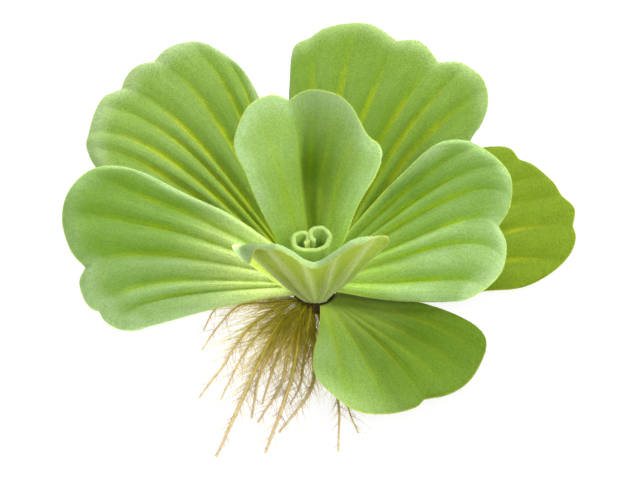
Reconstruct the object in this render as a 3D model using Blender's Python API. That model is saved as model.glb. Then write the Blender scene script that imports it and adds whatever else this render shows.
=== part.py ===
"""Water lettuce: a rosette of nine fan-veined leaves on a short stem, with its roots spread on a surface.

Lengths in the tables are millimetres and angles are degrees; meshes are written in metres, +Z up.
The origin is the middle of the stem's flat underside, and the surface it rests on is Z = 0.
A leaf is drawn flat as (along, across) points measured from its base, then bent into place.
"""
import math

import bmesh
import bpy
import numpy as np

MM = 0.001

# Stem: (height, radius) of its outline, from the flat underside to the tip.
STEM_PROFILE = [(0.0, 6.0), (1.6, 5.7), (4.0, 4.9), (6.5, 4.0), (9.0, 3.2), (11.5, 2.5), (13.0, 1.5)]
STEM_SIDES = 16

# Leaf blade.
BASE_THICKNESS = 1.9
BLADE_THICKNESS = 1.0
MARGIN_THICKNESS = 0.55
BLADE_STARTS = 0.30
SIDE_TAPER = 0.10
SPANS_PER_PLEAT = 3
ROWS = [0.0, 0.10, 0.24, 0.40, 0.56, 0.71, 0.84, 0.93, 1.0]
PLEAT_RISE_END = 0.35
PLEAT_FADE_START = 0.72
PLEAT_AT_MARGIN = 0.35
CURL_GROWS_OVER = 0.22
BASE_HOLLOW_FADES = 6

# Each leaf: where its base meets the stem, the way it points (heading, from +X towards +Y), how
# steeply it climbs (pitch) and how far it leans sideways (roll) at distances along it, how its two
# halves fold up (fold, at distances across it), its side edges, and the lobes of its margin.
# "pleats" is the number of folds in each lobe; a groove runs to every notch between two lobes.
# "curl" turns the margin down: the width of the curled strip, its radius, and the share of the
# curl that is left at the two ends of the margin.
LEAVES = {
    "leaf_back_left": {
        "base": (-3.5, 4.2, 5.4), "heading": 131,
        "pitch": [(0, 15), (40, 16), (80, 10)], "roll": [(0, 0)], "fold": [(0, 0)],
        "side_a": [(0, -2.4), (18, -11), (35, -19), (50, -26), (62, -29)],
        "lobes": [[(62, -29), (70, -28), (78, -24), (81, -17), (80, -10)],
                  [(80, -10), (81, -5), (80, 0), (78, 4)],
                  [(78, 4), (78, 10), (75, 16), (71, 21.5)],
                  [(71, 21.5), (68, 24), (61, 26), (54, 25)]],
        "pleats": [3, 1, 2, 1],
        "side_b": [(0, 3), (18, 10), (36, 18), (54, 25)],
        "pleat_height": 1.3, "curl": (3.0, 6.0, 1.0),
    },
    "leaf_left": {
        "base": (-4.8, 0.5, 8.6), "heading": 172,
        "pitch": [(0, 8), (45, 9), (70, 4)], "roll": [(0, -18), (25, -30), (70, -30)],
        "fold": [(0, 0)],
        "side_a": [(0, -3.5), (10, -9), (22, -14), (35, -17), (50, -21)],
        "lobes": [[(50, -21), (58, -21), (64, -18), (68, -11), (68, -3), (64, 5), (59, 9)],
                  [(59, 9), (60, 13), (57, 18), (51, 23), (46, 24)]],
        "pleats": [4, 3],
        "side_b": [(0, 4.2), (10, 8.3), (23, 14), (35, 20), (46, 24)],
        "pleat_height": 1.3, "curl": (3.0, 6.0, 1.0),
    },
    "leaf_back_right": {
        "base": (1.9, 4.9, 6.6), "heading": 68,
        "pitch": [(0, 24), (40, 24), (72, 16)], "roll": [(0, 0)], "fold": [(0, 0)],
        "side_a": [(0, -3), (14, -10), (28, -17), (42, -25), (54, -28)],
        "lobes": [[(54, -28), (62, -27), (68, -23), (71, -16), (70, -10)],
                  [(70, -10), (74, -5), (75, -1), (73, 4)],
                  [(73, 4), (75, 12), (74, 18), (70, 25), (66, 28)],
                  [(66, 28), (62, 31), (55, 30)]],
        "pleats": [2, 2, 2, 1],
        "side_b": [(0, 2.2), (15, 12), (30, 20), (43, 26), (55, 30)],
        "pleat_height": 1.3, "curl": (3.0, 6.0, 1.0),
    },
    "leaf_right": {
        "base": (4.5, 1.3, 9.0), "heading": 18,
        "pitch": [(0, 12), (60, 9)], "roll": [(0, 20), (25, 32), (60, 32)], "fold": [(0, 0)],
        "side_a": [(0, -4), (8, -10), (18, -15), (31, -19)],
        "lobes": [[(31, -19), (38, -18.5), (45, -15), (49, -9), (49, -4)],
                  [(49, -4), (54, 0), (57, 6), (57, 11), (54, 17), (50, 22), (45, 24.5)]],
        "pleats": [3, 4],
        "side_b": [(0, 3), (8, 9), (19, 15), (31, 20), (45, 24.5)],
        "pleat_height": 1.2, "curl": (3.0, 6.0, 1.0),
    },
    "leaf_far_right": {
        "base": (5.4, 2.5, 4.3), "heading": 25,
        "pitch": [(0, -1), (40, -3.5), (75, -2)], "roll": [(0, 0), (70, 2)], "fold": [(0, 0)],
        "side_a": [(0, -3), (14, -10), (28, -16), (39, -19.5), (48, -22)],
        "lobes": [[(48, -22), (57, -21), (66, -17), (71, -12), (72.5, -7.5)],
                  [(72.5, -7.5), (76, -2), (75, 4)],
                  [(75, 4), (75, 10), (73, 17), (70, 21)],
                  [(70, 21), (69, 26), (63, 29), (56, 28)]],
        "pleats": [2, 1, 2, 2],
        "side_b": [(0, 3), (14, 10), (28, 18), (42, 24), (56, 28)],
        "pleat_height": 0.9, "curl": (2.0, 8.0, 1.0),
    },
    "leaf_front_right": {
        "base": (4.1, -4.2, 4.2), "heading": -46,
        "pitch": [(0, 2), (20, -2), (50, -5)], "roll": [(0, 0), (20, -5), (40, -6)],
        "fold": [(0, 0)],
        "side_a": [(0, -3), (6, -10), (12, -18), (18, -23)],
        "lobes": [[(18, -23), (25, -24), (33, -22), (38, -16), (42, -9), (42, -5)],
                  [(42, -5), (45, 0), (46, 7), (44, 14), (40, 22), (35, 25)]],
        "pleats": [3, 4],
        "side_b": [(0, 3), (9, 10), (18, 18), (27, 23), (35, 25)],
        "pleat_height": 0.9, "curl": (2.0, 8.0, 1.0),
    },
    "leaf_upright": {
        "base": (0.0, 3.3, 11.5), "heading": 90,
        "pitch": [(0, 64), (50, 52)], "roll": [(0, 0)],
        "fold": [(-20, -25), (-5, -10), (0, 0), (5, 10), (20, 25)],
        "side_a": [(0, -3), (7, -8), (18, -12), (27, -17), (33, -19)],
        "lobes": [[(33, -19), (36, -18), (38, -15), (42, -12.5)],
                  [(42, -12.5), (46, -10), (49, -6), (50, 0), (49, 4), (47, 7)],
                  [(47, 7), (49, 12), (47, 18), (43, 21), (36, 23)]],
        "pleats": [1, 3, 3],
        "side_b": [(0, 3), (7, 10), (19, 16), (28, 19.5), (36, 23)],
        "pleat_height": 1.2, "curl": (2.0, 5.0, 1.0),
    },
    "leaf_small_front": {
        "base": (0.0, -4.4, 7.4), "heading": -90,
        "pitch": [(0, 76), (30, 76)], "roll": [(0, 0)],
        "fold": [(-20, -34), (-4, -16), (0, 0), (4, 16), (20, 34)],
        "side_a": [(0, -3), (1, -9), (4, -15), (6, -20), (8, -24.5)],
        "lobes": [[(8, -24.5), (15.5, -25), (19.5, -21.5), (25, -16.5), (29.5, -11.5), (28.5, -6.5),
                   (25, -2.3), (23.8, 0.2), (25.5, 2.8), (29, 6.5), (31.8, 11), (30.5, 15.5), (26, 19.5),
                   (21, 22), (16, 21.5)]],
        "pleats": [6],
        "side_b": [(0, 3), (3.5, 9), (8.5, 13.5), (12.5, 17.5), (16, 21.5)],
        "pleat_height": 0.7, "curl": (4.0, 2.0, 0.1),
    },
}

# Rolled young leaf: both halves of a flat front wall curl inwards as scrolls, (start radius,
# end radius) each, turning through SCROLL_TURN; the cut rim slopes up towards the back.
SCROLLS = {"left": (3.2, 0.95), "right": (4.5, 1.2)}
SCROLL_TURN = 350
FRONT_WALL = {"left": 1.2, "right": 1.5}
ROLLED_BASE = (-1.6, -3.2, 13.4)
ROLLED_HEIGHT = 11.5
ROLLED_RIM_RISE = 2.2
ROLLED_BASE_SCALE = 0.62
ROLLED_THICKNESS = 0.7
SCROLL_SPANS = 15
ROLLED_ROWS = 4

# Roots: bearing of the joint with the stem, height of that joint, and the points the root passes
# on the surface. The first group fans out to the front left, the second lies under the leaves.
ROOT_SIDES = 5
ROOT_SPANS = 9
ROOT_RADIUS = (0.52, 0.30)
ROOT_LANDS = 11.0
ROOT_GAP = 0.45
ROOTS = [
    (166, 0.6, [(-14, 2.0), (-21, 0.8), (-27.7, -3.7), (-31, -11.5)]),
    (181, 0.6, [(-14, -1.6), (-21, -2.6), (-27, -10), (-31.2, -18.2)]),
    (196, 0.6, [(-10.9, -3.3), (-20, -13.3), (-25.5, -24.1), (-31.5, -34.7)]),
    (203, 2.6, [(-10, -5.8), (-18, -16.5), (-22.5, -27), (-25.8, -35.5)]),
    (212, 0.6, [(-10.0, -10), (-14.1, -19.2), (-20.1, -36.5), (-26.4, -54.2)]),
    (220, 2.6, [(-8.6, -9.9), (-12.6, -20), (-15.6, -28.9), (-17.1, -41.7)]),
    (229, 0.6, [(-7.0, -10.5), (-10.2, -20), (-12.6, -29), (-14.2, -37)]),
    (238, 2.6, [(-5.6, -12), (-7.8, -22), (-9.4, -31), (-15.5, -43)]),
    (247, 0.6, [(-3.9, -11), (-5.3, -21), (-8.2, -36), (-13.2, -53)]),
    (256, 2.6, [(-2.2, -12), (-2.9, -21), (-3.9, -30), (-6.6, -37)]),
    (265, 0.6, [(-0.4, -12), (-0.2, -21), (-1.1, -31.9), (-9.6, -46.4)]),
    (279, 0.6, [(2.6, -13), (4.8, -24), (6.4, -37.4), (6.4, -52.6)]),
    (292, 0.6, [(4.9, -13), (7.9, -25), (9.0, -38), (11.8, -46.5)]),
    (310, 0.6, [(10, -11), (17, -19), (24, -25)]),
    (338, 0.6, [(14, -5.5), (24, -8), (36, -9)]),
    (8, 0.6, [(15, 2), (27, 6), (38, 5)]),
    (38, 0.6, [(13, 10), (22, 20), (27, 32)]),
    (66, 0.6, [(8, 16), (13, 29), (12, 43)]),
    (92, 0.6, [(0, 16), (-2, 31), (2, 46)]),
    (116, 0.6, [(-7.5, 15), (-14, 28), (-15, 42)]),
    (142, 0.6, [(-12.5, 10), (-24, 18), (-31, 29)]),
]

# Colours as linear red, green, blue: (name, colour, roughness).
LEAF_MATERIALS = {
    "leaf_far_right": ("older_leaf", (0.235, 0.370, 0.055, 1.0), 0.62),
    "leaf_rolled": ("young_leaf", (0.330, 0.500, 0.160, 1.0), 0.55),
    "leaf_small_front": ("pale_leaf_underside", (0.470, 0.560, 0.240, 1.0), 0.60),
}
LEAF_MATERIAL = ("velvety_leaf", (0.262, 0.451, 0.090, 1.0), 0.62)
STEM_MATERIAL = ("stem_crown", (0.082, 0.072, 0.020, 1.0), 0.70)
ROOT_MATERIAL = ("straw_root", (0.440, 0.340, 0.130, 1.0), 0.65)


def clear_scene():
    """Remove whatever the file held, so that the part starts from nothing."""
    for item in list(bpy.data.objects):
        bpy.data.objects.remove(item, do_unlink=True)


def material(name, colour, roughness):
    """The Principled material of that name, made on first use."""
    found = bpy.data.materials.get(name)
    if found:
        return found
    made = bpy.data.materials.new(name)
    made.use_nodes = True
    made.diffuse_color = colour
    shader = made.node_tree.nodes["Principled BSDF"]
    shader.inputs["Base Color"].default_value = colour
    shader.inputs["Roughness"].default_value = roughness
    shader.inputs["Metallic"].default_value = 0.0
    return made


def add_object(name, points, faces, look):
    """Make one closed, outward-facing mesh object from points in millimetres."""
    mesh = bpy.data.meshes.new(name)
    mesh.from_pydata([tuple(float(v) * MM for v in p) for p in points], [], faces)
    work = bmesh.new()
    work.from_mesh(mesh)
    bmesh.ops.recalc_face_normals(work, faces=work.faces)
    work.to_mesh(mesh)
    work.free()
    mesh.materials.append(material(*look))
    made = bpy.data.objects.new(name, mesh)
    bpy.context.scene.collection.objects.link(made)


def smooth_path(points, steps=10):
    """A Catmull-Rom curve through the points, as a dense polyline."""
    points = np.array(points, float)
    ends = np.vstack([2 * points[0] - points[1], points, 2 * points[-1] - points[-2]])
    out = [points[0]]
    for p0, p1, p2, p3 in zip(ends, ends[1:], ends[2:], ends[3:]):
        for u in np.arange(1, steps + 1) / steps:
            bend = (2 * p0 - 5 * p1 + 4 * p2 - p3) * u ** 2 + (3 * p1 - p0 - 3 * p2 + p3) * u ** 3
            out.append(p1 + 0.5 * ((p2 - p0) * u + bend))
    return np.array(out)


def lengths_along(path):
    """Distance of each point of a polyline from its start."""
    steps = np.linalg.norm(np.diff(path, axis=0), axis=1)
    return np.concatenate([[0.0], np.cumsum(steps)])


def at_fractions(path, fractions):
    """Points at fractions of the length of a polyline."""
    run = lengths_along(path)
    return np.stack([np.interp(np.array(fractions) * run[-1], run, column) for column in path.T], -1)


def table(pairs, where):
    """Straight-line look-up in a list of (position, value) pairs."""
    return np.interp(where, [p[0] for p in pairs], [p[1] for p in pairs])


def margin_and_columns(leaf):
    """The margin as one polyline, with the column fractions and the place of each in its pleat."""
    lobes = [smooth_path(lobe) for lobe in leaf["lobes"]]
    margin = np.vstack([lobes[0]] + [lobe[1:] for lobe in lobes[1:]])
    sizes = [lengths_along(lobe)[-1] for lobe in lobes]
    starts = np.concatenate([[0.0], np.cumsum(sizes)]) / sum(sizes)
    fractions = []
    phases = []
    for index, pleats in enumerate(leaf["pleats"]):
        spans = pleats * SPANS_PER_PLEAT
        for step in range(spans):
            share = step / spans
            fractions.append(starts[index] * (1 - share) + starts[index + 1] * share)
            phases.append(step % SPANS_PER_PLEAT / SPANS_PER_PLEAT)
    return margin, np.array(fractions + [1.0]), np.array(phases + [0.0])


def flat_grid(leaf):
    """Rows of (along, across) points from the base edge to the margin, filled in between the edges.

    The base edge is hollowed to clasp the round stem.
    """
    margin_path, columns, phases = margin_and_columns(leaf)
    rows = np.array(ROWS)
    side_a = at_fractions(smooth_path(leaf["side_a"]), rows)[:, None, :]
    side_b = at_fractions(smooth_path(leaf["side_b"]), rows)[:, None, :]
    margin = at_fractions(margin_path, columns)[None, :, :]
    across = columns[None, :, None]
    up = rows[:, None, None]
    base = side_a[0] * (1 - columns[:, None]) + side_b[0] * columns[:, None]
    corners = (1 - up) * base[None] + up * (margin[:, :1] * (1 - across) + margin[:, -1:] * across)
    grid = (1 - across) * side_a + across * side_b + (1 - up) * base[None] + up * margin - corners
    reach = math.hypot(leaf["base"][0], leaf["base"][1])
    hollow = (reach - np.sqrt(reach ** 2 - base[:, 1] ** 2)) * math.cos(math.radians(leaf["pitch"][0][1]))
    grid[..., 0] -= hollow[None, :] * (1 - rows[:, None]) ** BASE_HOLLOW_FADES
    return grid, rows, columns, phases


def curl_margin(leaf, grid, columns):
    """Turn the last few millimetres of each column down towards the underside."""
    zone, radius, share_at_ends = leaf["curl"]
    drop = np.zeros(grid.shape[:2])
    out = grid.copy()
    for index, column in enumerate(columns):
        line = grid[:, index]
        run = lengths_along(line)
        start = run[-1] - zone
        anchor = np.array([np.interp(start, run, line[:, axis]) for axis in (0, 1)])
        direction = (line[-1] - anchor) / np.linalg.norm(line[-1] - anchor)
        inward = min(1.0, min(column, 1 - column) / CURL_GROWS_OVER)
        tightness = (share_at_ends + (1 - share_at_ends) * inward) / radius
        for row in np.nonzero(run > start)[0]:
            turn = (run[row] - start) * tightness
            out[row, index] = anchor + direction * math.sin(turn) / tightness
            drop[row, index] = (1 - math.cos(turn)) / tightness
    return out, drop


def bend(leaf, grid, height):
    """Carry flat points, with a height above the blade, to where the leaf holds them."""
    heading = math.radians(leaf["heading"])
    ahead = np.array([math.cos(heading), math.sin(heading), 0.0])
    aside = np.array([-math.sin(heading), math.cos(heading), 0.0])
    up = np.array([0.0, 0.0, 1.0])
    along = grid[..., 0]
    across = grid[..., 1]
    spine = np.linspace(-5.0, 90.0, 381)
    slope = np.radians(table(leaf["pitch"], spine))
    step = spine[1] - spine[0]
    run = np.concatenate([[0.0], np.cumsum((np.cos(slope[1:]) + np.cos(slope[:-1])) * step / 2)])
    rise = np.concatenate([[0.0], np.cumsum((np.sin(slope[1:]) + np.sin(slope[:-1])) * step / 2)])
    run -= np.interp(0.0, spine, run)
    rise -= np.interp(0.0, spine, rise)
    pitch = np.radians(table(leaf["pitch"], along))[..., None]
    roll = np.radians(table(leaf["roll"], along))[..., None]
    lift = -np.sin(pitch) * ahead + np.cos(pitch) * up
    wide = np.cos(roll) * aside + np.sin(roll) * lift
    normal = -np.sin(roll) * aside + np.cos(roll) * lift
    shares = (np.arange(24) + 0.5) / 24
    folding = np.radians(table(leaf["fold"], across[..., None] * shares))
    sideways = across * np.cos(folding).mean(-1)
    folded_up = across * np.sin(folding).mean(-1) + height
    place = np.interp(along, spine, run)[..., None] * ahead
    place = place + np.interp(along, spine, rise)[..., None] * up
    return np.array(leaf["base"]) + place + sideways[..., None] * wide + folded_up[..., None] * normal


def sheet_normals(points):
    """Unit normals of a grid of points, on the upper side of the blade."""
    down_rows = np.gradient(points, axis=0)
    over_columns = np.gradient(points, axis=1)
    normals = np.cross(down_rows, over_columns)
    return normals / np.linalg.norm(normals, axis=-1, keepdims=True)


def sheet_faces(rows, columns):
    """Faces of a closed sheet: an upper grid, a lower grid after it, and the strips round the rim."""
    below = rows * columns
    faces = []
    for i in range(rows - 1):
        for j in range(columns - 1):
            a = i * columns + j
            b = a + 1
            c = b + columns
            d = a + columns
            faces += [(a, b, c, d), (d + below, c + below, b + below, a + below)]
    rim = [j for j in range(columns)]
    rim += [i * columns + columns - 1 for i in range(1, rows)]
    rim += [(rows - 1) * columns + j for j in range(columns - 2, -1, -1)]
    rim += [i * columns for i in range(rows - 2, 0, -1)]
    for a, b in zip(rim, rim[1:] + rim[:1]):
        faces.append((b, a, a + below, b + below))
    return faces


def build_leaf(name, leaf):
    """One pleated leaf blade, thick at its base and thin at its margin."""
    grid, rows, columns, phases = flat_grid(leaf)
    grid, drop = curl_margin(leaf, grid, columns)
    grows = np.clip(rows / PLEAT_RISE_END, 0, 1)
    fades = np.clip((rows - PLEAT_FADE_START) / (1 - PLEAT_FADE_START), 0, 1)
    strength = grows * (1 - fades * (1 - PLEAT_AT_MARGIN))
    pleats = leaf["pleat_height"] * strength[:, None] * np.sin(np.pi * phases)[None, :]
    top = bend(leaf, grid, pleats - drop)
    thickness = table([(0, BASE_THICKNESS), (BLADE_STARTS, BLADE_THICKNESS), (1, MARGIN_THICKNESS)], rows)
    inward = np.clip(np.minimum(columns, 1 - columns) / SIDE_TAPER, 0, 1)[None, :]
    thickness = MARGIN_THICKNESS + (thickness[:, None] - MARGIN_THICKNESS) * inward
    bottom = top - sheet_normals(top) * thickness[..., None]
    points = np.vstack([top.reshape(-1, 3), bottom.reshape(-1, 3)])
    look = LEAF_MATERIALS.get(name, LEAF_MATERIAL)
    add_object(name, points, sheet_faces(len(rows), len(columns)), look)


def scroll(side, sign):
    """Half of the rolled leaf's section, from the middle of its front wall to its inner end."""
    start, end = SCROLLS[side]
    turn = math.radians(SCROLL_TURN)
    rate = math.log(start / end) / turn
    points = [(0.0, 0.0)]
    for step in range(SCROLL_SPANS + 1):
        angle = turn * step / SCROLL_SPANS
        shrink = start * math.exp(-rate * angle)
        x = (shrink * (math.sin(angle) - rate * math.cos(angle)) + start * rate) / (1 + rate ** 2)
        y = (start - shrink * (math.cos(angle) + rate * math.sin(angle))) / (1 + rate ** 2)
        points.append((sign * (FRONT_WALL[side] + x), y))
    return points


def build_rolled_leaf():
    """The youngest leaf, still rolled from both sides into a heart-shaped double scroll."""
    section = np.array(scroll("left", -1)[:0:-1] + scroll("right", 1))
    depth = section[:, 1].max()
    heights = np.linspace(0.0, 1.0, ROLLED_ROWS + 1)
    layers = []
    for share in heights:
        scale = ROLLED_BASE_SCALE + (1 - ROLLED_BASE_SCALE) * share
        rise = share * (ROLLED_HEIGHT + ROLLED_RIM_RISE * section[:, 1] / depth)
        y = (section[:, 1] - depth / 2) * scale + depth / 2
        layers.append(np.stack([section[:, 0] * scale, y, rise], -1))
    top = np.array(layers) + np.array(ROLLED_BASE)
    bottom = top - sheet_normals(top) * ROLLED_THICKNESS
    points = np.vstack([top.reshape(-1, 3), bottom.reshape(-1, 3)])
    faces = sheet_faces(len(layers), len(section))
    add_object("leaf_rolled", points, faces, LEAF_MATERIALS["leaf_rolled"])


def build_rings(name, rings, look):
    """A closed tube from rings of points with the same count, capped at both ends."""
    sides = len(rings[0])
    points = [p for ring in rings for p in ring]
    faces = [tuple(range(sides)), tuple(range(len(points) - sides, len(points)))]
    for i in range(len(rings) - 1):
        for j in range(sides):
            a = i * sides + j
            b = i * sides + (j + 1) % sides
            faces.append((a, b, b + sides, a + sides))
    add_object(name, points, faces, look)


def build_stem():
    """The short conical stem that carries every leaf and root, flat underneath."""
    angles = [math.tau * j / STEM_SIDES for j in range(STEM_SIDES)]
    rings = [[(r * math.cos(a), r * math.sin(a), z) for a in angles] for z, r in STEM_PROFILE]
    build_rings("stem", rings, STEM_MATERIAL)


def build_root(number, bearing, height, passes):
    """One main root: out of the stem's side, down to the surface and along it to a thin tip."""
    angle = math.radians(bearing)
    reach = table(STEM_PROFILE, max(height - ROOT_RADIUS[0], 0)) + ROOT_GAP
    start = (reach * math.cos(angle), reach * math.sin(angle))
    path = at_fractions(smooth_path([start] + passes), np.arange(ROOT_SPANS + 1) / ROOT_SPANS)
    run = lengths_along(path)
    radii = np.interp(run, [0, run[-1]], ROOT_RADIUS)
    landed = np.clip(run / ROOT_LANDS, 0, 1)
    eased = landed * landed * (3 - 2 * landed)
    levels = radii + (height - ROOT_RADIUS[0]) * (1 - eased)
    spine = np.column_stack([path, levels])
    directions = np.gradient(spine, axis=0)
    rings = []
    for centre, direction, radius in zip(spine, directions, radii):
        direction = direction / np.linalg.norm(direction)
        side = np.cross(direction, (0.0, 0.0, 1.0))
        side = side / np.linalg.norm(side)
        up = np.cross(side, direction)
        ring = []
        for j in range(ROOT_SIDES):
            turn = math.tau * (j + 0.5) / ROOT_SIDES + math.pi / 2
            ring.append(centre + radius * (math.cos(turn) * side + math.sin(turn) * up))
        rings.append(ring)
    build_rings("root_%02d" % number, rings, ROOT_MATERIAL)


def build():
    """Build every piece of the plant."""
    clear_scene()
    build_stem()
    for name, leaf in LEAVES.items():
        build_leaf(name, leaf)
    build_rolled_leaf()
    for number, (bearing, height, passes) in enumerate(ROOTS, 1):
        build_root(number, bearing, height, passes)


build()
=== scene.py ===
# %% [markdown]
# # A water lettuce
#
# Water lettuce floats on still water: a rosette of spongy, velvety leaves on a stem no longer than a
# thimble, with feathery roots hanging below it. Here it has been lifted out and stood on a white table.
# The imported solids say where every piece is. This notebook puts a living leaf, root or crown in each
# one's place, so nothing has to be fitted by eye.

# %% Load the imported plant
import math
from functools import partial

import bpy
import numpy as np
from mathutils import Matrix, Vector


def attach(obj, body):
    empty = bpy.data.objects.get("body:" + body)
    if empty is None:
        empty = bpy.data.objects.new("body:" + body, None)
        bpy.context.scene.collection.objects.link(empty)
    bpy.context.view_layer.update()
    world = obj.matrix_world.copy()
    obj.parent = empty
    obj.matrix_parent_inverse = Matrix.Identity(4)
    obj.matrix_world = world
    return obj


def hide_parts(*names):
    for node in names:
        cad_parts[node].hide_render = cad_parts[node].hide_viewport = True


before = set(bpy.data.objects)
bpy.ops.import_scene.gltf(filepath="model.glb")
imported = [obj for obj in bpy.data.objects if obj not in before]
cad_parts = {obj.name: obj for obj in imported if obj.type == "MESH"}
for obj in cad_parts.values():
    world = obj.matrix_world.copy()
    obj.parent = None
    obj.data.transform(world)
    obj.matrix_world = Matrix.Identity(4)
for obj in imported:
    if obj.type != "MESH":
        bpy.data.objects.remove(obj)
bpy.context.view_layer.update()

SCENE = bpy.context.scene
MM = 0.001
print("packed pieces:", len(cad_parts))

# %% [markdown]
# ## Helpers
#
# Shader trees and geometry trees are built the same way: add a node, set it up, plug its inputs.
# One function does all three, so a tree reads from top to bottom as a recipe. Short names stand for the
# kinds of node and the settings that come back often.

# %% Add a node
MATH = "ShaderNodeMath"
VECTOR_MATH = "ShaderNodeVectorMath"
RANGE = "ShaderNodeMapRange"
MIX = "ShaderNodeMix"
NOISE = "ShaderNodeTexNoise"
BUMP = "ShaderNodeBump"
FIELD = "ShaderNodeAttribute"
PLACE = "ShaderNodeTexCoord"
COMBINE = "ShaderNodeCombineXYZ"
READ = "GeometryNodeInputNamedAttribute"
STORE = "GeometryNodeStoreNamedAttribute"
MOVE = "GeometryNodeSetPosition"
PLANT = "GeometryNodeInstanceOnPoints"
REALIZE = "GeometryNodeRealizeInstances"
SHADE = "GeometryNodeSetShadeSmooth"
PAINT = "GeometryNodeSetMaterial"
TUBE = "GeometryNodeCurveToMesh"
CIRCLE = "GeometryNodeCurvePrimitiveCircle"
RANDOM = "FunctionNodeRandomValue"
TURN = "FunctionNodeRotateRotation"
PLUS, MINUS, TIMES, SCALED = ({"operation": name} for name in ("ADD", "SUBTRACT", "MULTIPLY", "SCALE"))
VECTOR, COLOUR = ({"data_type": name} for name in ("FLOAT_VECTOR", "RGBA"))
SMOOTH = {"interpolation_type": "SMOOTHSTEP"}


def plug(node, inputs):
    """Fill a node's inputs: by name or number, or from a list in the order in which the node shows them.

    An input takes a plain value, a socket, or a node, which stands for its first output in use.
    """
    shown = [s for s in node.inputs if s.enabled]
    for name, source in inputs.items() if isinstance(inputs, dict) else enumerate(inputs):
        socket = shown[name] if isinstance(name, int) else next(s for s in shown if s.name == name)
        if isinstance(source, bpy.types.Node):
            source = next(s for s in source.outputs if s.enabled)
        if isinstance(source, bpy.types.NodeSocket):
            node.id_data.links.new(source, socket)
        else:
            socket.default_value = source


def add_to(tree, kind, inputs=(), **settings):
    """Add a node to a tree, set its properties and plug its inputs."""
    made = tree.nodes.new(kind)
    for name, value in settings.items():
        setattr(made, name, value)
    plug(made, inputs)
    return made


# %% Colours, materials and trees
def tint(code):
    """An sRGB hex colour as linear red, green, blue and alpha."""
    parts = [int(code[i:i + 2], 16) / 255 for i in (1, 3, 5)]
    return [c / 12.92 if c <= 0.04045 else ((c + 0.055) / 1.055) ** 2.4 for c in parts] + [1.0]


def new_material(name):
    """A material, the function that adds a node to it, and its Principled shader."""
    made = bpy.data.materials.new(name)
    made.use_nodes = True
    return made, partial(add_to, made.node_tree), made.node_tree.nodes["Principled BSDF"]


def new_tree(name, numbers, **others):
    """A Geometry Nodes tree, the function that adds a node to it, and its inputs' sockets by name."""
    tree = bpy.data.node_groups.new(name, "GeometryNodeTree")
    tree.interface.new_socket("Geometry", in_out="OUTPUT", socket_type="NodeSocketGeometry")
    inputs = {"Geometry": "Geometry", **dict.fromkeys(numbers, "Float"), **others}
    for label, kind in inputs.items():
        tree.interface.new_socket(label, in_out="INPUT", socket_type="NodeSocket" + kind)
    return tree, partial(add_to, tree), {s.name: s for s in tree.nodes.new("NodeGroupInput").outputs}


def relevel(add, geometry, level):
    """Move each point to the height that a rule makes of its own height."""
    parts = add("ShaderNodeSeparateXYZ", [add("GeometryNodeInputPosition")])
    moved = add(COMBINE, [parts.outputs["X"], parts.outputs["Y"], level(parts.outputs["Z"])])
    return add(MOVE, {"Geometry": geometry, "Position": moved})


def hand_out(add, geometry, material):
    """End a tree: give the geometry its material and hand it out."""
    add("NodeGroupOutput", [add(PAINT, {"Geometry": geometry, "Material": material})])


def put(name, data):
    """An object with this data, in the scene."""
    made = bpy.data.objects.new(name, data)
    SCENE.collection.objects.link(made)
    return made


def grow(name, tree, mesh, sizes):
    """Run a tree on a mesh with these input values and keep what it makes as one plain mesh object."""
    seedling = put(name + "_source", mesh)
    modifier = seedling.modifiers.new("grow", "NODES")
    modifier.node_group = tree
    sockets = {s.name: s.identifier for s in tree.interface.items_tree if s.in_out == "INPUT"}
    for label, value in sizes.items():
        modifier[sockets[label]] = value
    graph = bpy.context.evaluated_depsgraph_get()
    grown = bpy.data.meshes.new_from_object(seedling.evaluated_get(graph), depsgraph=graph)
    seedling.modifiers.remove(modifier)
    bpy.data.objects.remove(seedling)
    grown.name = name
    return put(name, grown)


def triangles(piece):
    """How many triangles a piece has."""
    return sum(len(face.vertices) - 2 for face in piece.data.polygons)


# %% [markdown]
# ## The studio
#
# The plant is seen from in front and well above, with a long lens, on white. A broad soft lamp high
# behind it models the folds, and a weaker one at the front right fills the shade. The table glows, as one
# does for cut-out pictures: it washes out most of the shadow and lights the leaves from below too. The
# camera sees it toned down to just white.

# %% Floor, light and camera
CAMERA_TARGET = Vector((0.0014, 0.0, 0.0258))
CAMERA_DISTANCE = 0.70
CAMERA_ELEVATION = math.radians(50)
CAMERA_LENS = 144
FLOOR_SIZE = 3.0
WORLD_STRENGTH = 0.52
TABLE_GLOW = 0.80
TABLE_GLOW_SEEN = 0.86
LAMPS = {
    "key": ((0.08, 0.64, 0.52), 0.50, 10.0),
    "fill": ((0.48, -0.26, 0.60), 0.70, 3.6),
}


def aim(thing, place, target):
    """Put a lamp or camera somewhere and point it at a target."""
    thing.location = place
    thing.rotation_euler = (target - Vector(place)).to_track_quat("-Z", "Y").to_euler()


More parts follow.
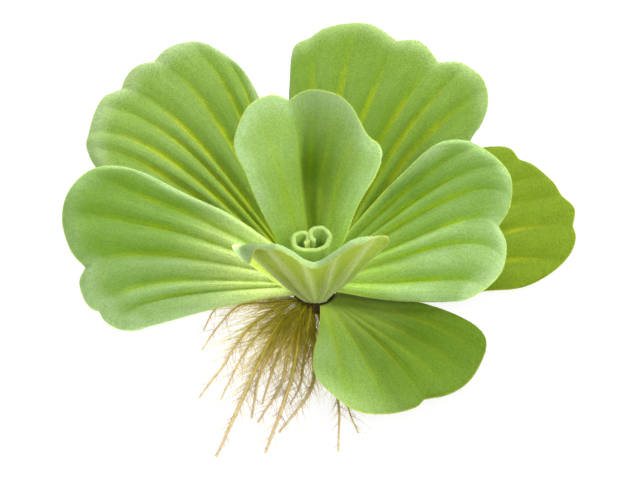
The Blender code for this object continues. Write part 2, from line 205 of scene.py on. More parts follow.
def build_studio():
    """A white table, soft light from all round, two broad lamps and the camera."""
    world = bpy.data.worlds.new("studio")
    world.use_nodes = True
    plug(world.node_tree.nodes["Background"], [tint("#ffffff"), WORLD_STRENGTH])
    SCENE.world = world
    SCENE.view_settings.view_transform = "Standard"
    half = FLOOR_SIZE / 2
    mesh = bpy.data.meshes.new("table_top")
    corners = [(-half, -half, 0), (half, -half, 0), (half, half, 0), (-half, half, 0)]
    mesh.from_pydata(corners, [], [(0, 1, 2, 3)])
    paint, add, shader = new_material("matt_white_board")
    grain = add(NOISE, {"Scale": 900.0, "Detail": 3.0})
    white = add(MIX, [grain, tint("#f6f6f5"), tint("#fafafa")], **COLOUR)
    # The lit table is far brighter than paper white and would swallow the hair-thin roots, so the camera
    # sees it toned down to just white; the plant still gets all its light.
    seen = add("ShaderNodeLightPath").outputs["Is Camera Ray"]
    board = add(MIX, [seen, white, tint("#707070")], **COLOUR)
    glow = add(RANGE, [seen, 0.0, 1.0, TABLE_GLOW, TABLE_GLOW_SEEN])
    plug(shader, {"Base Color": board, "Roughness": 0.9, "Emission Color": tint("#ffffff"),
                  "Emission Strength": glow})
    mesh.materials.append(paint)
    put("table_top", mesh)
    for name, (place, size, watts) in LAMPS.items():
        lamp = bpy.data.lights.new(name, "AREA")
        lamp.size = size
        lamp.energy = watts
        aim(put(name, lamp), place, CAMERA_TARGET)
    camera = put("camera", bpy.data.cameras.new("camera"))
    camera.data.lens = CAMERA_LENS
    camera.data.sensor_width = 36
    back = Vector((0.0, -math.cos(CAMERA_ELEVATION), math.sin(CAMERA_ELEVATION)))
    aim(camera, CAMERA_TARGET + back * CAMERA_DISTANCE, CAMERA_TARGET)
    SCENE.camera = camera


build_studio()
print("lamps:", ", ".join(LAMPS))

# %% [markdown]
# ## Leaf tissue
#
# The leaf is a spongy green sheet under a felt of short white hairs. Hair makes the crests look pale and
# a little blue; in the grooves, where it is thin, the yellow-green of the tissue shows, and each groove
# holds a yellow vein. Towards the base the green is deep and clear; where a leaf has glow, the base is
# painted bright for light soaking through it. The sheet is thin enough for light to soak through, which
# is subsurface scattering here, and the felt catches light edge-on, which is sheen. Light and shade are
# also painted into the colour: paler felt on slopes that face the lamp and on curled margins, deep green
# in shaded hollows, and a tone across the pleats. The pattern follows the folds, so the material reads
# numbers that the blade carries at each point.

# %% A leaf material from its tones
GRAIN_SIZE = 0.45 * MM      # the hairs are 0.05 mm apart; drawn coarser so that the felt shows
MOTTLE_SIZE = 7 * MM
STREAK_SIZE = 0.8 * MM
# In each set, the deep green of hollows is painted shade, and the bright base colour is painted light
# soaking through the thin base, over its own yellower green.
TONES = {
    "velvety_leaf_tissue": dict(
        felted="#a6c384", clear="#6e9a0a", painted_hollow="#486e00", deep_base="#78a41c", base_with_painted_light="#e2f4a0",
        vein="#9cba04"),
    "inner_leaf_tissue": dict(
        felted="#a8c486", clear="#84a81a", painted_hollow="#486e00", deep_base="#86a81c", base_with_painted_light="#e2f4a0",
        vein="#a2c004"),
    "outer_leaf_tissue": dict(
        felted="#a8c082", clear="#749a08", painted_hollow="#527400", deep_base="#8aaa40", base_with_painted_light="#d4e890",
        vein="#a8ba08"),
    "older_leaf_tissue": dict(
        felted="#90a438", clear="#728e0a", painted_hollow="#5c7808", deep_base="#6d8a0c", base_with_painted_light="#869a18",
        vein="#a6b010", rim="#b0ae4a", under="#8a9c58", rib="#a3ad78"),
    "young_leaf_tissue": dict(
        felted="#b4ce74", clear="#98c048", painted_hollow="#6c8c24", deep_base="#88ac38", base_with_painted_light="#9cb24c",
        vein="#a4c450", rim="#b8d07c", under="#b6cc60", rib="#c2d478"),
    "pale_leaf_tissue": dict(
        felted="#bad69c", clear="#9ab864", painted_hollow="#96ae66", deep_base="#96ae66", base_with_painted_light="#a9bc74",
        vein="#a9bc70", rim="#bcc658", under="#a0b642", rib="#b8c87c"),
}


def tissue(name, felted, clear, painted_hollow, deep_base, base_with_painted_light, vein,
           rim="#bcc660", under="#8ba267", rib="#a6b488"):
    """The living tissue of a leaf, coloured by felt, by fold, by distance from the base and by side, with
    light and shade painted in along its pleats, hollows and base.
    """
    made, add, shader = new_material(name)
    at = {field: add(FIELD, attribute_name=field).outputs["Fac"] for field in (
        "felt", "painted_shade", "reach", "groove_mm", "margin_mm", "under", "tone", "glow", "vein")}
    place = add(PLACE).outputs["Object"]
    grain = add(NOISE, {"Vector": place, "Scale": 1 / GRAIN_SIZE, "Detail": 2.0})
    mottle = add(NOISE, {"Vector": place, "Scale": 1 / MOTTLE_SIZE, "Detail": 2.0})
    # Streaks run along the veins: the noise is read across the pleats and, stretched, along them.
    # A range says what it reads, between which two values, and what it makes of these two.
    fan = add(FIELD, attribute_name="fan_mm").outputs["Vector"]
    streaks = add(NOISE, {"Vector": fan, "Scale": MM / STREAK_SIZE, "Detail": 2.0})
    patches = add(RANGE, [mottle, 0.35, 0.65, 0.88, 1.12], **SMOOTH)
    # The felt share holds painted light on lamp-facing slopes and painted sheen at curled margins, besides
    # the felt itself.
    felt_here = add(MATH, [at["felt"], patches], **TIMES)
    blade = add(MIX, [felt_here, tint(clear), tint(felted)], **COLOUR)
    # Painted shade: where a hollow is shaded, the colour turns deep green.
    folded = add(MIX, [at["painted_shade"], blade, tint(painted_hollow)], **COLOUR)
    # Painted light: with glow, the base takes a bright colour for light soaking through it, over its own
    # yellower green.
    base = add(MIX, [at["glow"], tint(deep_base), tint(base_with_painted_light)], **COLOUR)
    out = add(RANGE, [at["reach"], 0.08, 0.62], **SMOOTH)
    clear_of_base = add(MATH, [out, at["painted_shade"]], operation="MAXIMUM")
    top = add(MIX, [clear_of_base, base, folded], **COLOUR)
    # A vein fades towards the margin and comes and goes along its length.
    by_vein = add(RANGE, [at["groove_mm"], 0.1, 1.5, 0.62, 0.0], **SMOOTH)
    broken = add(RANGE, [mottle, 0.38, 0.6, 0.45, 1.0], **SMOOTH)
    line = add(MATH, [add(MATH, [by_vein, at["vein"]], **TIMES), broken], **TIMES)
    veined = add(MIX, [line, top, tint(vein)], **COLOUR)
    by_rib = add(RANGE, [at["groove_mm"], 0.3, 2.6, 0.9, 0.0], **SMOOTH)
    below = add(MIX, [by_rib, tint(under), tint(rib)], **COLOUR)
    sides = add(MIX, [at["under"], veined, below], **COLOUR)
    # The margin is a clear yellowish rim about a third of a millimetre wide.
    by_rim = add(RANGE, [at["margin_mm"], 0.05, 0.5, 0.8, 0.0], **SMOOTH)
    rimmed = add(MIX, [by_rim, sides, tint(rim)], **COLOUR)
    specks = add(RANGE, [grain, 0.3, 0.7, 0.86, 1.14])
    lines = add(RANGE, [streaks, 0.3, 0.7, 0.95, 1.05])
    # Tone is partly the leaf's own depth of green and partly painted light and shade across its pleats.
    toned = add(MATH, [add(MATH, [specks, lines], **TIMES), at["tone"]], **TIMES)
    finished = add(VECTOR_MATH, [rimmed, toned], **SCALED)
    bumps = add(BUMP, {"Height": grain, "Strength": 0.4, "Distance": 0.2 * MM})
    plug(shader, {
        "Base Color": finished, "Normal": bumps, "Roughness": 0.62, "Specular IOR Level": 0.06,
        "Subsurface Weight": 0.35, "Subsurface Radius": (0.8, 1.0, 0.2), "Subsurface Scale": 1.0 * MM,
        "Sheen Weight": 0.5, "Sheen Roughness": 0.25, "Sheen Tint": tint("#dcead0")})
    return made


TISSUES = {name: tissue(name, **tones) for name, tones in TONES.items()}
print("leaf materials:", ", ".join(TISSUES))

# %% The felt of hairs
def felt():
    """Water-repelling leaf hairs: clear, air-filled threads, whitish green where they are thick."""
    made, add, shader = new_material("leaf_felt_hair")
    thick, tone = (add(FIELD, attribute_name=field).outputs["Fac"] for field in ("felt", "tone"))
    shade = add(MIX, [thick, tint("#6f9a1c"), tint("#b8d08c")], **COLOUR)
    # The hairs take the blade's tone too, with its painted light and shade.
    finished = add(VECTOR_MATH, [shade, tone], **SCALED)
    plug(shader, {"Base Color": finished, "Roughness": 0.7, "Specular IOR Level": 0.10})
    return made


FELT = felt()

# %% [markdown]
# ## The shape of a blade
#
# Each leaf is drawn flat first, as a fan: two side edges and a lobed margin. Veins run from the base to
# steps of the margin that the pleats' widths set, so the sheet between them is a Coons patch, a grid
# stretched between four curves. Then it is bent: pitch lifts it as it leaves the stem, roll leans it
# sideways and fold closes it like a book. The numbers start from the imported part's own, with far more
# points between them and the outlines drawn closer to the photograph. Most are lists of places and
# values. A curl is a place, the width that curls and its radius, and a flap an angle, distance and
# radius. A swell is a pleat, height and width, and where it starts and is full. A deep hollow is a pleat,
# width, crease and amount, and is painted shade. Tones and felt are pleats and factors on the colour and
# the felt; besides the leaf's own tone they paint light and shade. The felt near the margin is partly
# painted sheen, and glow paints light soaking through the base.

# %% The leaves in numbers
USUAL = dict(
    roll=[(0, 0)], fold=[(0, 0)], bow=[(0, 0)], bow_power=5, swells=[], curl=[(0, 4.0, 5.0)], heel=0.0,
    tissue="velvety_leaf_tissue", slot="velvety_leaf", felt_rises=(0.05, 0.6), margin_felt_and_sheen=1.0, vein=1.0,
    glow=0.0)
LEAVES = {
    "leaf_back_left": dict(USUAL,
        base=(-3.5, 4.2, 5.4), heading=131, pitch=[(0, 15), (40, 16), (80, 10)],
        side_a=[(0, -2.4), (18, -11), (35, -19), (50, -26), (62, -29)],
        lobes=[[(70.6, -28.6), (79, -24.6), (82, -17), (80.8, -10)],
               [(82.2, -5), (81, 0), (78.4, 4)],
               [(79, 10), (75.8, 16), (71.2, 21.5)],
               [(68.4, 24.4), (61.6, 26.4), (54, 25)]],
        side_b=[(0, 3), (18, 10), (36, 18)],
        bow=[(0, 0), (0.11, -0.01), (0.24, -0.055), (0.38, -0.075), (0.55, -0.10), (0.67, -0.15),
             (0.78, -0.16), (1, 0)],
        bow_power=4,
        pleats=[[0.9, 1, 1.1], [1], [1, 0.9], [0.5, 1.4]], pleat_height=0.95,
        tissue="outer_leaf_tissue",
        tones=[(0, 0.80), (4, 0.81), (6, 0.87)], felt=[(0, 0.7)], margin_felt_and_sheen=2.4, vein=1.35,
        painted_hollow=(1.4, 1.8, 9.0, 0.55)),
    "leaf_left": dict(USUAL,
        base=(-4.8, 0.5, 8.6), heading=172, pitch=[(0, 8), (45, 9), (70, 4)],
        roll=[(0, -18), (25, -30), (70, -30)],
        side_a=[(0, -3.5), (10, -9), (22, -14), (35, -17), (50, -21)],
        lobes=[[(58, -21), (64, -18), (68, -11), (68, -3), (64, 5), (59, 9)],
               [(60, 13), (57.8, 17.5), (55.2, 19.9), (52.6, 20.4)],
               [(50.6, 22.6), (47, 24), (43.3, 24.1), (40, 22.8)]],
        side_b=[(0, 4.2), (10, 8.3), (23, 14), (33, 19.2)],
        bow=[(0, 0), (0.25, 0.02), (0.42, -0.05), (0.67, -0.13), (0.84, -0.14), (0.93, -0.15), (1, 0)],
        pleats=[[1, 0.9, 1.15], [1.5], [0.8, 0.6]], pleat_height=1.3,
        tones=[(0, 1.0), (0.7, 0.98), (2.8, 0.98), (3.3, 0.99), (6, 1.02)],
        felt=[(0, 1.3), (0.7, 0.55), (2.8, 0.5), (3.3, 1.15), (6, 1.25)], margin_felt_and_sheen=1.5, glow=1.0),
    "leaf_back_right": dict(USUAL,
        base=(1.9, 4.9, 6.6), heading=68, pitch=[(0, 24), (40, 24), (72, 16)],
        side_a=[(0, -3), (14, -10), (28, -17), (42, -25), (54, -28)],
        lobes=[[(62.6, -28), (69.2, -24), (72.2, -16.5), (70.4, -10)],
               [(74.2, -5), (75.3, -1), (73.4, 4)],
               [(75.9, 12), (75, 18.3), (71, 25.5), (66.6, 28.6)],
               [(62.4, 31.9), (55, 30)]],
        side_b=[(0, 2.2), (15, 12), (30, 20), (43, 26)],
        bow=[(0, 0), (0.13, 0.12), (0.24, 0.09), (0.38, 0.07), (0.53, 0.03), (0.69, 0.0),
             (0.86, -0.05), (1, 0)],
        pleats=[[1.1, 1, 0.9], [1], [1, 1], [1]], pleat_height=0.9,
        tissue="outer_leaf_tissue",
        tones=[(0, 0.88)], felt=[(0, 0.55)], margin_felt_and_sheen=1.7, vein=1.1, painted_hollow=(3.0, 2.5, 9.0, 0.25)),
    "leaf_right": dict(USUAL,
        base=(4.5, 1.3, 9.0), heading=18, pitch=[(0, 12), (60, 9)], roll=[(0, 20), (25, 32), (60, 32)],
        side_a=[(0, -4), (8, -10), (18, -15), (31, -19.6)],
        lobes=[[(38.5, -19.4), (45.6, -16), (49.4, -9.4), (49, -4)],
               [(54, 0), (57, 6), (57, 11), (54, 17), (49.5, 22), (43, 24.3)]],
        side_b=[(0, 3), (8, 9), (19, 15), (30, 20), (37, 23)],
        bow=[(0, 0), (0.13, 0.10), (0.27, 0.16), (0.42, 0.135), (0.56, 0.135), (0.72, 0.08),
             (0.84, 0.04), (1, 0)],
        bow_power=7,
        pleats=[[0.9, 1, 1.1], [1, 1, 1, 1.2]], pleat_height=1.2, swells=[(3.0, 0.8, 0.35, 0.45, 0.95)],
        tones=[(0, 1.18), (2.8, 1.12), (3.3, 1.0), (7, 0.94)],
        felt=[(0, 1.3), (2.8, 1.2), (3.3, 0.75), (7, 0.9)], glow=0.25, painted_hollow=(6.2, 1.2, 9.0, 0.55)),
    "leaf_far_right": dict(USUAL,
        base=(5.4, 2.5, 4.3), heading=25, pitch=[(0, -1), (40, -3.5), (75, -2)], roll=[(0, 0), (70, 2)],
        side_a=[(0, -3), (14, -10), (28, -16), (39, -19.5), (48, -22)],
        lobes=[[(57, -21), (66, -17), (71, -12), (72.5, -7.5)],
               [(76, -2), (75, 4)],
               [(75, 10), (73, 17), (70, 21)],
               [(69, 26), (63, 29), (56, 28)]],
        side_b=[(0, 3), (14, 10), (28, 18), (42, 24)],
        bow=[(0, 0), (0.19, 0.10), (0.38, 0.08), (0.54, 0.05), (0.65, 0.04), (1, 0)],
        pleats=[[1, 1], [1], [1, 1], [1, 1]], pleat_height=0.9, curl=[(0, 2.0, 8.0)],
        tissue="older_leaf_tissue", slot="older_leaf",
        tones=[(0, 0.80)], felt=[(0, 0.2)], vein=1.3, glow=0.3),
    "leaf_front_right": dict(USUAL,
        base=(4.1, -4.2, 4.2), heading=-46, pitch=[(0, 2), (20, -2), (50, -5)],
        roll=[(0, 0), (20, -5), (40, -6)],
        side_a=[(0, -3), (6, -10), (12, -18), (18, -23)],
        lobes=[[(25, -24), (33, -22), (38, -16), (42, -9), (42, -5)],
               [(44.8, 0), (45.6, 7), (44, 14), (40, 22), (35, 25)]],
        side_b=[(0, 3.5), (9, 11.5), (18, 19.3), (27, 23.7)],
        bow=[(0, 0), (0.35, 0.03), (0.5, 0.01), (0.7, -0.06), (1, 0)], bow_power=3,
        pleats=[[1.2, 1, 1], [1, 1, 1, 1]], pleat_height=0.4,
        swells=[(0.3, 1.8, 1.0, 0.05, 0.7), (2.0, -1.2, 0.7, 0.05, 0.7), (3.6, 0.8, 0.9, 0.1, 0.7)],
        curl=[(0, 2.0, 8.0)],
        tissue="outer_leaf_tissue",
        # Tone paints the left third lighter and the shadow of the right leaf above over the rest: painted
        # light and shadow.
        tones=[(0, 1.42), (1.2, 1.12), (2.4, 0.72), (3.5, 0.60), (5.5, 0.57), (7, 0.60)],
        felt=[(0, 1.2), (1.6, 0.75), (3.0, 0.2), (7, 0.1)], margin_felt_and_sheen=0.5, vein=0.4, glow=0.1,
        painted_hollow=(5.2, 1.3, 9.0, 0.45)),
    "leaf_upright": dict(USUAL,
        base=(0.0, 3.3, 11.5), heading=90, pitch=[(0, 64), (50, 52)],
        fold=[(-20, -25), (-5, -10), (0, 0), (5, 10), (20, 25)],
        side_a=[(0, -3), (7, -8), (18, -12), (27, -17), (33, -19)],
        lobes=[[(36, -18), (38, -15), (42, -12.5)],
               [(46, -10), (49, -6), (50, 0), (49, 4), (47, 7)],
               [(49, 12), (47, 18), (43, 21), (36, 23)]],
        side_b=[(0, 3), (7, 10), (19, 16), (28, 19.5)],
        bow=[(0, 0), (0.19, 0.07), (0.33, 0.07), (0.46, 0.03), (0.59, -0.04), (0.8, -0.10), (1, 0)],
        bow_power=3,
        pleats=[[1], [1, 1, 1], [1, 1]], pleat_height=0.25,
        swells=[(3.7, -3.0, 0.9, 0.05, 0.75), (4.9, 0.8, 0.7, 0.1, 0.9)], curl=[(0, 2.0, 5.0)],
        tissue="inner_leaf_tissue",
        # Tone paints the flanks lighter and the half beyond the crease darker: painted light and shade.
        tones=[(0, 1.5), (0.6, 1.27), (1.2, 1.0), (2.2, 0.93), (3.95, 0.97), (4.05, 1.08), (6, 1.18)],
        felt=[(0, 1.15), (1.2, 1.1), (2.6, 1.15), (3.95, 0.9), (4.05, 1.1), (6, 1.3)],
        felt_rises=(0.15, 0.8), vein=0.5, glow=0.3, painted_hollow=(2.9, 1.5, 3.95, 0.85)),
    "leaf_small_front": dict(USUAL,
        base=(0.0, -4.4, 7.4), heading=-90, pitch=[(0, 76), (30, 76)],
        fold=[(-20, -34), (-4, -16), (0, 0), (4, 16), (20, 34)],
        side_a=[(0, -3), (1, -9), (4, -15), (6, -20), (8, -24.5)],
        lobes=[[(20.0, -26.4), (23.5, -22.2), (25, -16.5), (29.5, -11.5), (28.5, -6.5),
                (25, -2.3), (23.8, 0.2), (25.5, 2.8), (29, 6.5), (31.8, 11), (30.5, 15.5), (26, 19.5),
                (21, 22), (16, 21.5)]],
        side_b=[(0, 3), (3.5, 9), (8.5, 13.5), (12.5, 17.5)],
        pleats=[[1] * 6], pleat_height=0.7,
        curl=[(0, 0.4, 2.0), (0.18, 0.6, 2.0), (0.34, 3.6, 2.0), (0.78, 4.0, 2.0), (1, 4.0, 12.0)],
        flap=(-53, 25.1, 2.9), heel=0.8,
        tissue="pale_leaf_tissue", slot="pale_leaf_underside",
        # Tone and felt paint the folded ear pale and bright: painted light.
        tones=[(0, 2.2), (0.6, 2.1), (1.1, 0.74), (1.8, 0.76), (3, 0.98), (4, 0.84), (6, 0.82)],
        felt=[(0, 2.2), (0.6, 1.7), (1.2, 0.8), (4, 0.7), (6, 0.5)], glow=0.5),
}
SPANS_PER_PLEAT = 14
ROWS = np.concatenate([np.linspace(0, 0.97, 56), [0.98, 0.988, 0.994, 0.998, 1.0]])
print("leaves:", len(LEAVES) + 1)

# %% Curves and grids
PATH_STEPS = 10


def smooth_path(points, before=None, after=None):
    """A Catmull-Rom curve through the points, as a dense polyline; neighbours steer its two ends."""
    points = np.array(points, float)
    before = 2 * points[0] - points[1] if before is None else before
    after = 2 * points[-1] - points[-2] if after is None else after
    ends = np.vstack([before, points, after])
    out = [points[0]]
    for p0, p1, p2, p3 in zip(ends, ends[1:], ends[2:], ends[3:]):
        for u in np.arange(1, PATH_STEPS + 1) / PATH_STEPS:
            bend = (2 * p0 - 5 * p1 + 4 * p2 - p3) * u ** 2 + (3 * p1 - p0 - 3 * p2 + p3) * u ** 3
            out.append(p1 + 0.5 * ((p2 - p0) * u + bend))
    return np.array(out)


def lengths_along(path):
    """Distance of each point of a polyline, or of each row of a grid, from its start."""
    steps = np.linalg.norm(np.diff(path, axis=0), axis=-1)
    return np.concatenate([np.zeros_like(steps[:1]), np.cumsum(steps, axis=0)])


def at_fractions(path, fractions):
    """Points at fractions of the length of a polyline."""
    run = lengths_along(path)
    return np.stack([np.interp(np.array(fractions) * run[-1], run, column) for column in path.T], -1)


def table(pairs, where):
    """Straight-line look-up in a list of (position, value) pairs."""
    return np.interp(where, [p[0] for p in pairs], [p[1] for p in pairs])


def eased(low, high, value):
    """Smooth step from 0 at low to 1 at high."""
    share = np.clip((value - low) / (high - low), 0, 1)
    return share * share * (3 - 2 * share)


# %% The flat fan
BASE_HOLLOW_FADES = 6


def flat_fan(leaf):
    """Rows of (along, across) points in millimetres, with each column's place across in pleats."""
    # Each lobe starts where the one before it ends, and the sides run on into the margin smoothly.
    ends = [leaf["side_a"][-1]] + [lobe[-1] for lobe in leaf["lobes"]]
    points = [[start] + lobe for start, lobe in zip(ends, leaf["lobes"])]
    inner = [None] * (len(points) - 1)
    lobes = [smooth_path(*lobe) for lobe in zip(
        points, [leaf["side_a"][-2]] + inner, inner + [leaf["side_b"][-1]])]
    margin_path = np.vstack([lobes[0]] + [lobe[1:] for lobe in lobes[1:]])
    sizes = [lengths_along(lobe)[-1] for lobe in lobes]
    lobe_ends = np.concatenate([[0.0], np.cumsum(sizes)]) / sum(sizes)
    veins = [0.0]
    for first, last, widths in zip(lobe_ends, lobe_ends[1:], leaf["pleats"]):
        veins += list(first + (last - first) * np.cumsum(widths) / sum(widths))
    pleats = len(veins) - 1
    phase = np.linspace(0, pleats, pleats * SPANS_PER_PLEAT + 1)
    columns = np.interp(phase, range(pleats + 1), veins)
    side_a, side_b = (
        at_fractions(smooth_path(side, after=neighbour), ROWS)[:, None, :] for side, neighbour in
        ((leaf["side_a"], points[0][1]), (leaf["side_b"] + ends[-1:], points[-1][-2])))
    # Veins are not straight: they run on towards one side and bend round only near the margin.
    across = columns + table(leaf["bow"], columns) * (1 - ROWS[:, None] ** leaf["bow_power"])
    margin = at_fractions(margin_path, across)
    across = across[..., None]
    up = ROWS[:, None, None]
    base = side_a[0] * (1 - across) + side_b[0] * across
    corners = (1 - up) * base + up * (margin_path[0] * (1 - across) + margin_path[-1] * across)
    grid = (1 - across) * side_a + across * side_b + (1 - up) * base + up * margin - corners
    reach = math.hypot(leaf["base"][0], leaf["base"][1])
    hollow = reach - np.sqrt(reach ** 2 - base[..., 1] ** 2)
    hollow = hollow * math.cos(math.radians(leaf["pitch"][0][1]))
    heel = leaf["heel"] * 4 * across[..., 0] * (1 - across[..., 0])
    grid[..., 0] -= (hollow + heel) * (1 - ROWS[:, None]) ** BASE_HOLLOW_FADES
    return grid, columns, phase


# %% Folding a corner and curling the margin down
def fold_corner(grid, angle, distance, radius):
    """Turn what lies past a distance, measured at an angle to the midrib, down to the underside."""
    way = np.array([math.cos(math.radians(angle)), math.sin(math.radians(angle))])
    past = np.clip(grid @ way - distance, 0, None)
    turn = past / radius
    return grid + (radius * np.sin(turn) - past)[..., None] * way, radius * (1 - np.cos(turn))


def curl_margin(leaf, grid, columns):
    """Turn the last few millimetres of each column down towards the underside."""
    places, zones, radii = zip(*leaf["curl"])
    drop = np.zeros(grid.shape[:2])
    out = grid.copy()
    runs = lengths_along(grid)
    for index, column in enumerate(columns):
        line = grid[:, index]
        run = runs[:, index]
        start = run[-1] - np.interp(column, places, zones)
        radius = np.interp(column, places, radii)
        anchor = np.array([np.interp(start, run, line[:, axis]) for axis in (0, 1)])
        direction = (line[-1] - anchor) / np.linalg.norm(line[-1] - anchor)
        past = run > start
        turn = (run[past] - start) / radius
        out[past, index] = anchor + direction * radius * np.sin(turn)[:, None]
        drop[past, index] = radius * (1 - np.cos(turn))
    return out, drop


# %% Bending it into place
UP = np.array([0.0, 0.0, 1.0])
SPINE = np.linspace(-5.0, 90.0, 381)           # millimetres from the base, past both ends of every leaf
FOLD_STEPS = 24
FOLD_SHARES = (np.arange(FOLD_STEPS) + 0.5) / FOLD_STEPS


def bend(leaf, grid, height):
    """Carry flat points, with a height above the blade, to where the leaf holds them."""
    heading = math.radians(leaf["heading"])
    ahead = np.array([math.cos(heading), math.sin(heading), 0.0])
    aside = np.array([-math.sin(heading), math.cos(heading), 0.0])
    along = grid[..., 0]
    across = grid[..., 1]
    slope = np.radians(table(leaf["pitch"], SPINE))
    place = 0.0
    for part, way in ((np.cos, ahead), (np.sin, UP)):
        steps = (part(slope[1:]) + part(slope[:-1])) * (SPINE[1] - SPINE[0]) / 2
        run = np.concatenate([[0.0], np.cumsum(steps)])
        run -= np.interp(0.0, SPINE, run)
        place = place + np.interp(along, SPINE, run)[..., None] * way
    pitch = np.radians(table(leaf["pitch"], along))[..., None]
    roll = np.radians(table(leaf["roll"], along))[..., None]
    lift = -np.sin(pitch) * ahead + np.cos(pitch) * UP
    wide = np.cos(roll) * aside + np.sin(roll) * lift
    normal = -np.sin(roll) * aside + np.cos(roll) * lift
    folding = np.radians(table(leaf["fold"], across[..., None] * FOLD_SHARES))
    sideways = across * np.cos(folding).mean(-1)
    folded_up = across * np.sin(folding).mean(-1) + height
    return np.array(leaf["base"]) + place + sideways[..., None] * wide + folded_up[..., None] * normal


def sheet_normals(points):
    """Unit normals of a grid of points, on the upper side of the blade."""
    normals = np.cross(np.gradient(points, axis=0), np.gradient(points, axis=1))
    return normals / np.linalg.norm(normals, axis=-1, keepdims=True)


# %% [markdown]
# ## Pleats by Geometry Nodes
#
# A water lettuce leaf is pleated like a fan: a vein lies at the bottom of every groove on top and stands
# out as a rib underneath. That is a rule, the same along every vein, so Geometry Nodes press it into the
# smooth sheet. The blade's points bring along how far across the pleats they lie (phase), how strong the
# fold is there, which way is up, and how thick the blade is; the tree turns these into crests, fine
# nerves and ribs. Changing the pleat height is then one number, not a new mesh.

# %% The pleating tree
# How many folds a pleat's width holds, which input says how high they are, and how pointed they are.
FOLDS = ((1, "Pleat Height", 1.1), (4, "Nerve Height", 2.0))
RIB_FADES = [0.1, 0.95, 1.0, 0.1]   # from and to this share of the length, from full height to a tenth


def pleating_tree():
    """Raise crests and nerves on the upper face, and ribs on the lower one, of a closed sheet."""
    tree, add, given = new_tree(
        "Pleated blade", ("Pleat Height", "Nerve Height", "Rib Height", "Rib Width"),
        Material="Material")
    phase, strength, groove, under, reach = (
        add(READ, [field]) for field in ("phase", "strength", "groove_mm", "under", "reach"))
    lift, depth = (add(READ, [field], **VECTOR) for field in ("lift", "depth"))
    heights = []
    for folds, size, pointed in FOLDS:
        turn = add(MATH, [phase, math.pi * folds], **TIMES)
        wave = add(MATH, [turn], operation="SINE")
        fold = add(MATH, [wave], operation="ABSOLUTE")
        crest = add(MATH, [fold, pointed], operation="POWER")
        sized = add(MATH, [crest, given[size]], **TIMES)
        heights.append(add(MATH, [sized, strength], **TIMES))
    raised = add(MATH, heights, **PLUS)
    off_rib = add(MATH, [groove, given["Rib Width"]], operation="DIVIDE")
    rib = add(RANGE, [off_rib, 0.0, 1.0, 1.0, 0.0], **SMOOTH)
    for factor in (add(RANGE, [reach, *RIB_FADES]), under, given["Rib Height"]):
        rib = add(MATH, [rib, factor], **TIMES)
    above = add(MATH, [raised, rib], **MINUS)
    lifted = add(VECTOR_MATH, [lift, above], **SCALED)
    moved = add(VECTOR_MATH, [lifted, depth], **PLUS)
    shaped = add(MOVE, {"Geometry": given["Geometry"], "Offset": moved})
    smooth = add(SHADE, {"Geometry": shaped, "Shade Smooth": True})
    real = add(REALIZE, {"Geometry": smooth})
    hand_out(add, real, given["Material"])
    return tree


PLEATING = pleating_tree()

# %% [markdown]
# ## The velvet by Geometry Nodes
#
# The felt is what makes the plant shed water. Real hairs are too many to build, so this is a thinned
# felt: each hair is a three-sided spike of four triangles, stood on the blade with a random lean.
# Distribute Points on Faces scatters them evenly whatever the size of the faces, which placing them per
# vertex would not.

# %% The velvet tree
HAIRS_VARY = {"Min": 0.55, "Max": 1.15}


def velvet_tree():
    """Stand leaning spikes all over a mesh, as dense as its velvet attribute says."""
    tree, add, given = new_tree(
        "Velvet", ("Density", "Hair Length", "Hair Width", "Lean"), Seed="Int", Material="Material")
    share = add(READ, ["velvet"])
    density = add(MATH, [share, given["Density"]], **TIMES)
    scatter = add("GeometryNodeDistributePointsOnFaces", {
        "Mesh": given["Geometry"], "Density": density, "Seed": given["Seed"]})
    spike = add("GeometryNodeMeshCone", {
        "Vertices": 3, "Radius Top": 0.0, "Radius Bottom": 1.0, "Depth": 1.0}, fill_type="NGON")
    back = add(MATH, [given["Lean"], -1.0], **TIMES)
    least = add(COMBINE, [back, back, 0.0])
    most = add(COMBINE, [given["Lean"], given["Lean"], math.tau])
    leaning = add(RANDOM, {"Min": least, "Max": most, "Seed": 3}, **VECTOR)
    turn = add("FunctionNodeEulerToRotation", [leaning])
    stance = add(TURN, {
        "Rotation": scatter.outputs["Rotation"], "Rotate By": turn}, rotation_space="LOCAL")
    stretch = add(RANDOM, {**HAIRS_VARY, "Seed": 4})
    tall = add(MATH, [stretch, given["Hair Length"]], **TIMES)
    size = add(COMBINE, [given["Hair Width"], given["Hair Width"], tall])
    hairs = add(PLANT, {"Points": scatter, "Instance": spike, "Rotation": stance, "Scale": size})
    real = add(REALIZE, {"Geometry": hairs})
    # Hairs that would go through the table lie flat on it.
    settled = relevel(add, real, lambda height: add(MATH, [height, 0.0], operation="MAXIMUM"))
    hand_out(add, settled, given["Material"])
    return tree


VELVET = velvet_tree()

# %% [markdown]
# ## Growing the leaves
#
# A blade is a closed sheet: an upper grid of points, a lower one under it, and strips round the rim. The
# spongy base is 1.9 mm thick, the blade 1 mm and the margin a quarter of that. Both grids start in the
# same place; the depth that each lower point carries opens the sheet while it is pleated. Every point
# also carries what the material needs to know, such as how thick the felt is there.

# %% The closed sheet
BASE_THICKNESS = 1.9
BLADE_THICKNESS = 1.0
NEAR_MARGIN_THICKNESS = 0.55
RIM_THICKNESS = 0.25
RIM_WIDTH = 0.6
BLADE_STARTS = 0.30
SIDE_TAPER = 0.10
PLEAT_RISE_END = 0.35
PLEAT_FADE_START = 0.45
PLEAT_AT_MARGIN = 0.25


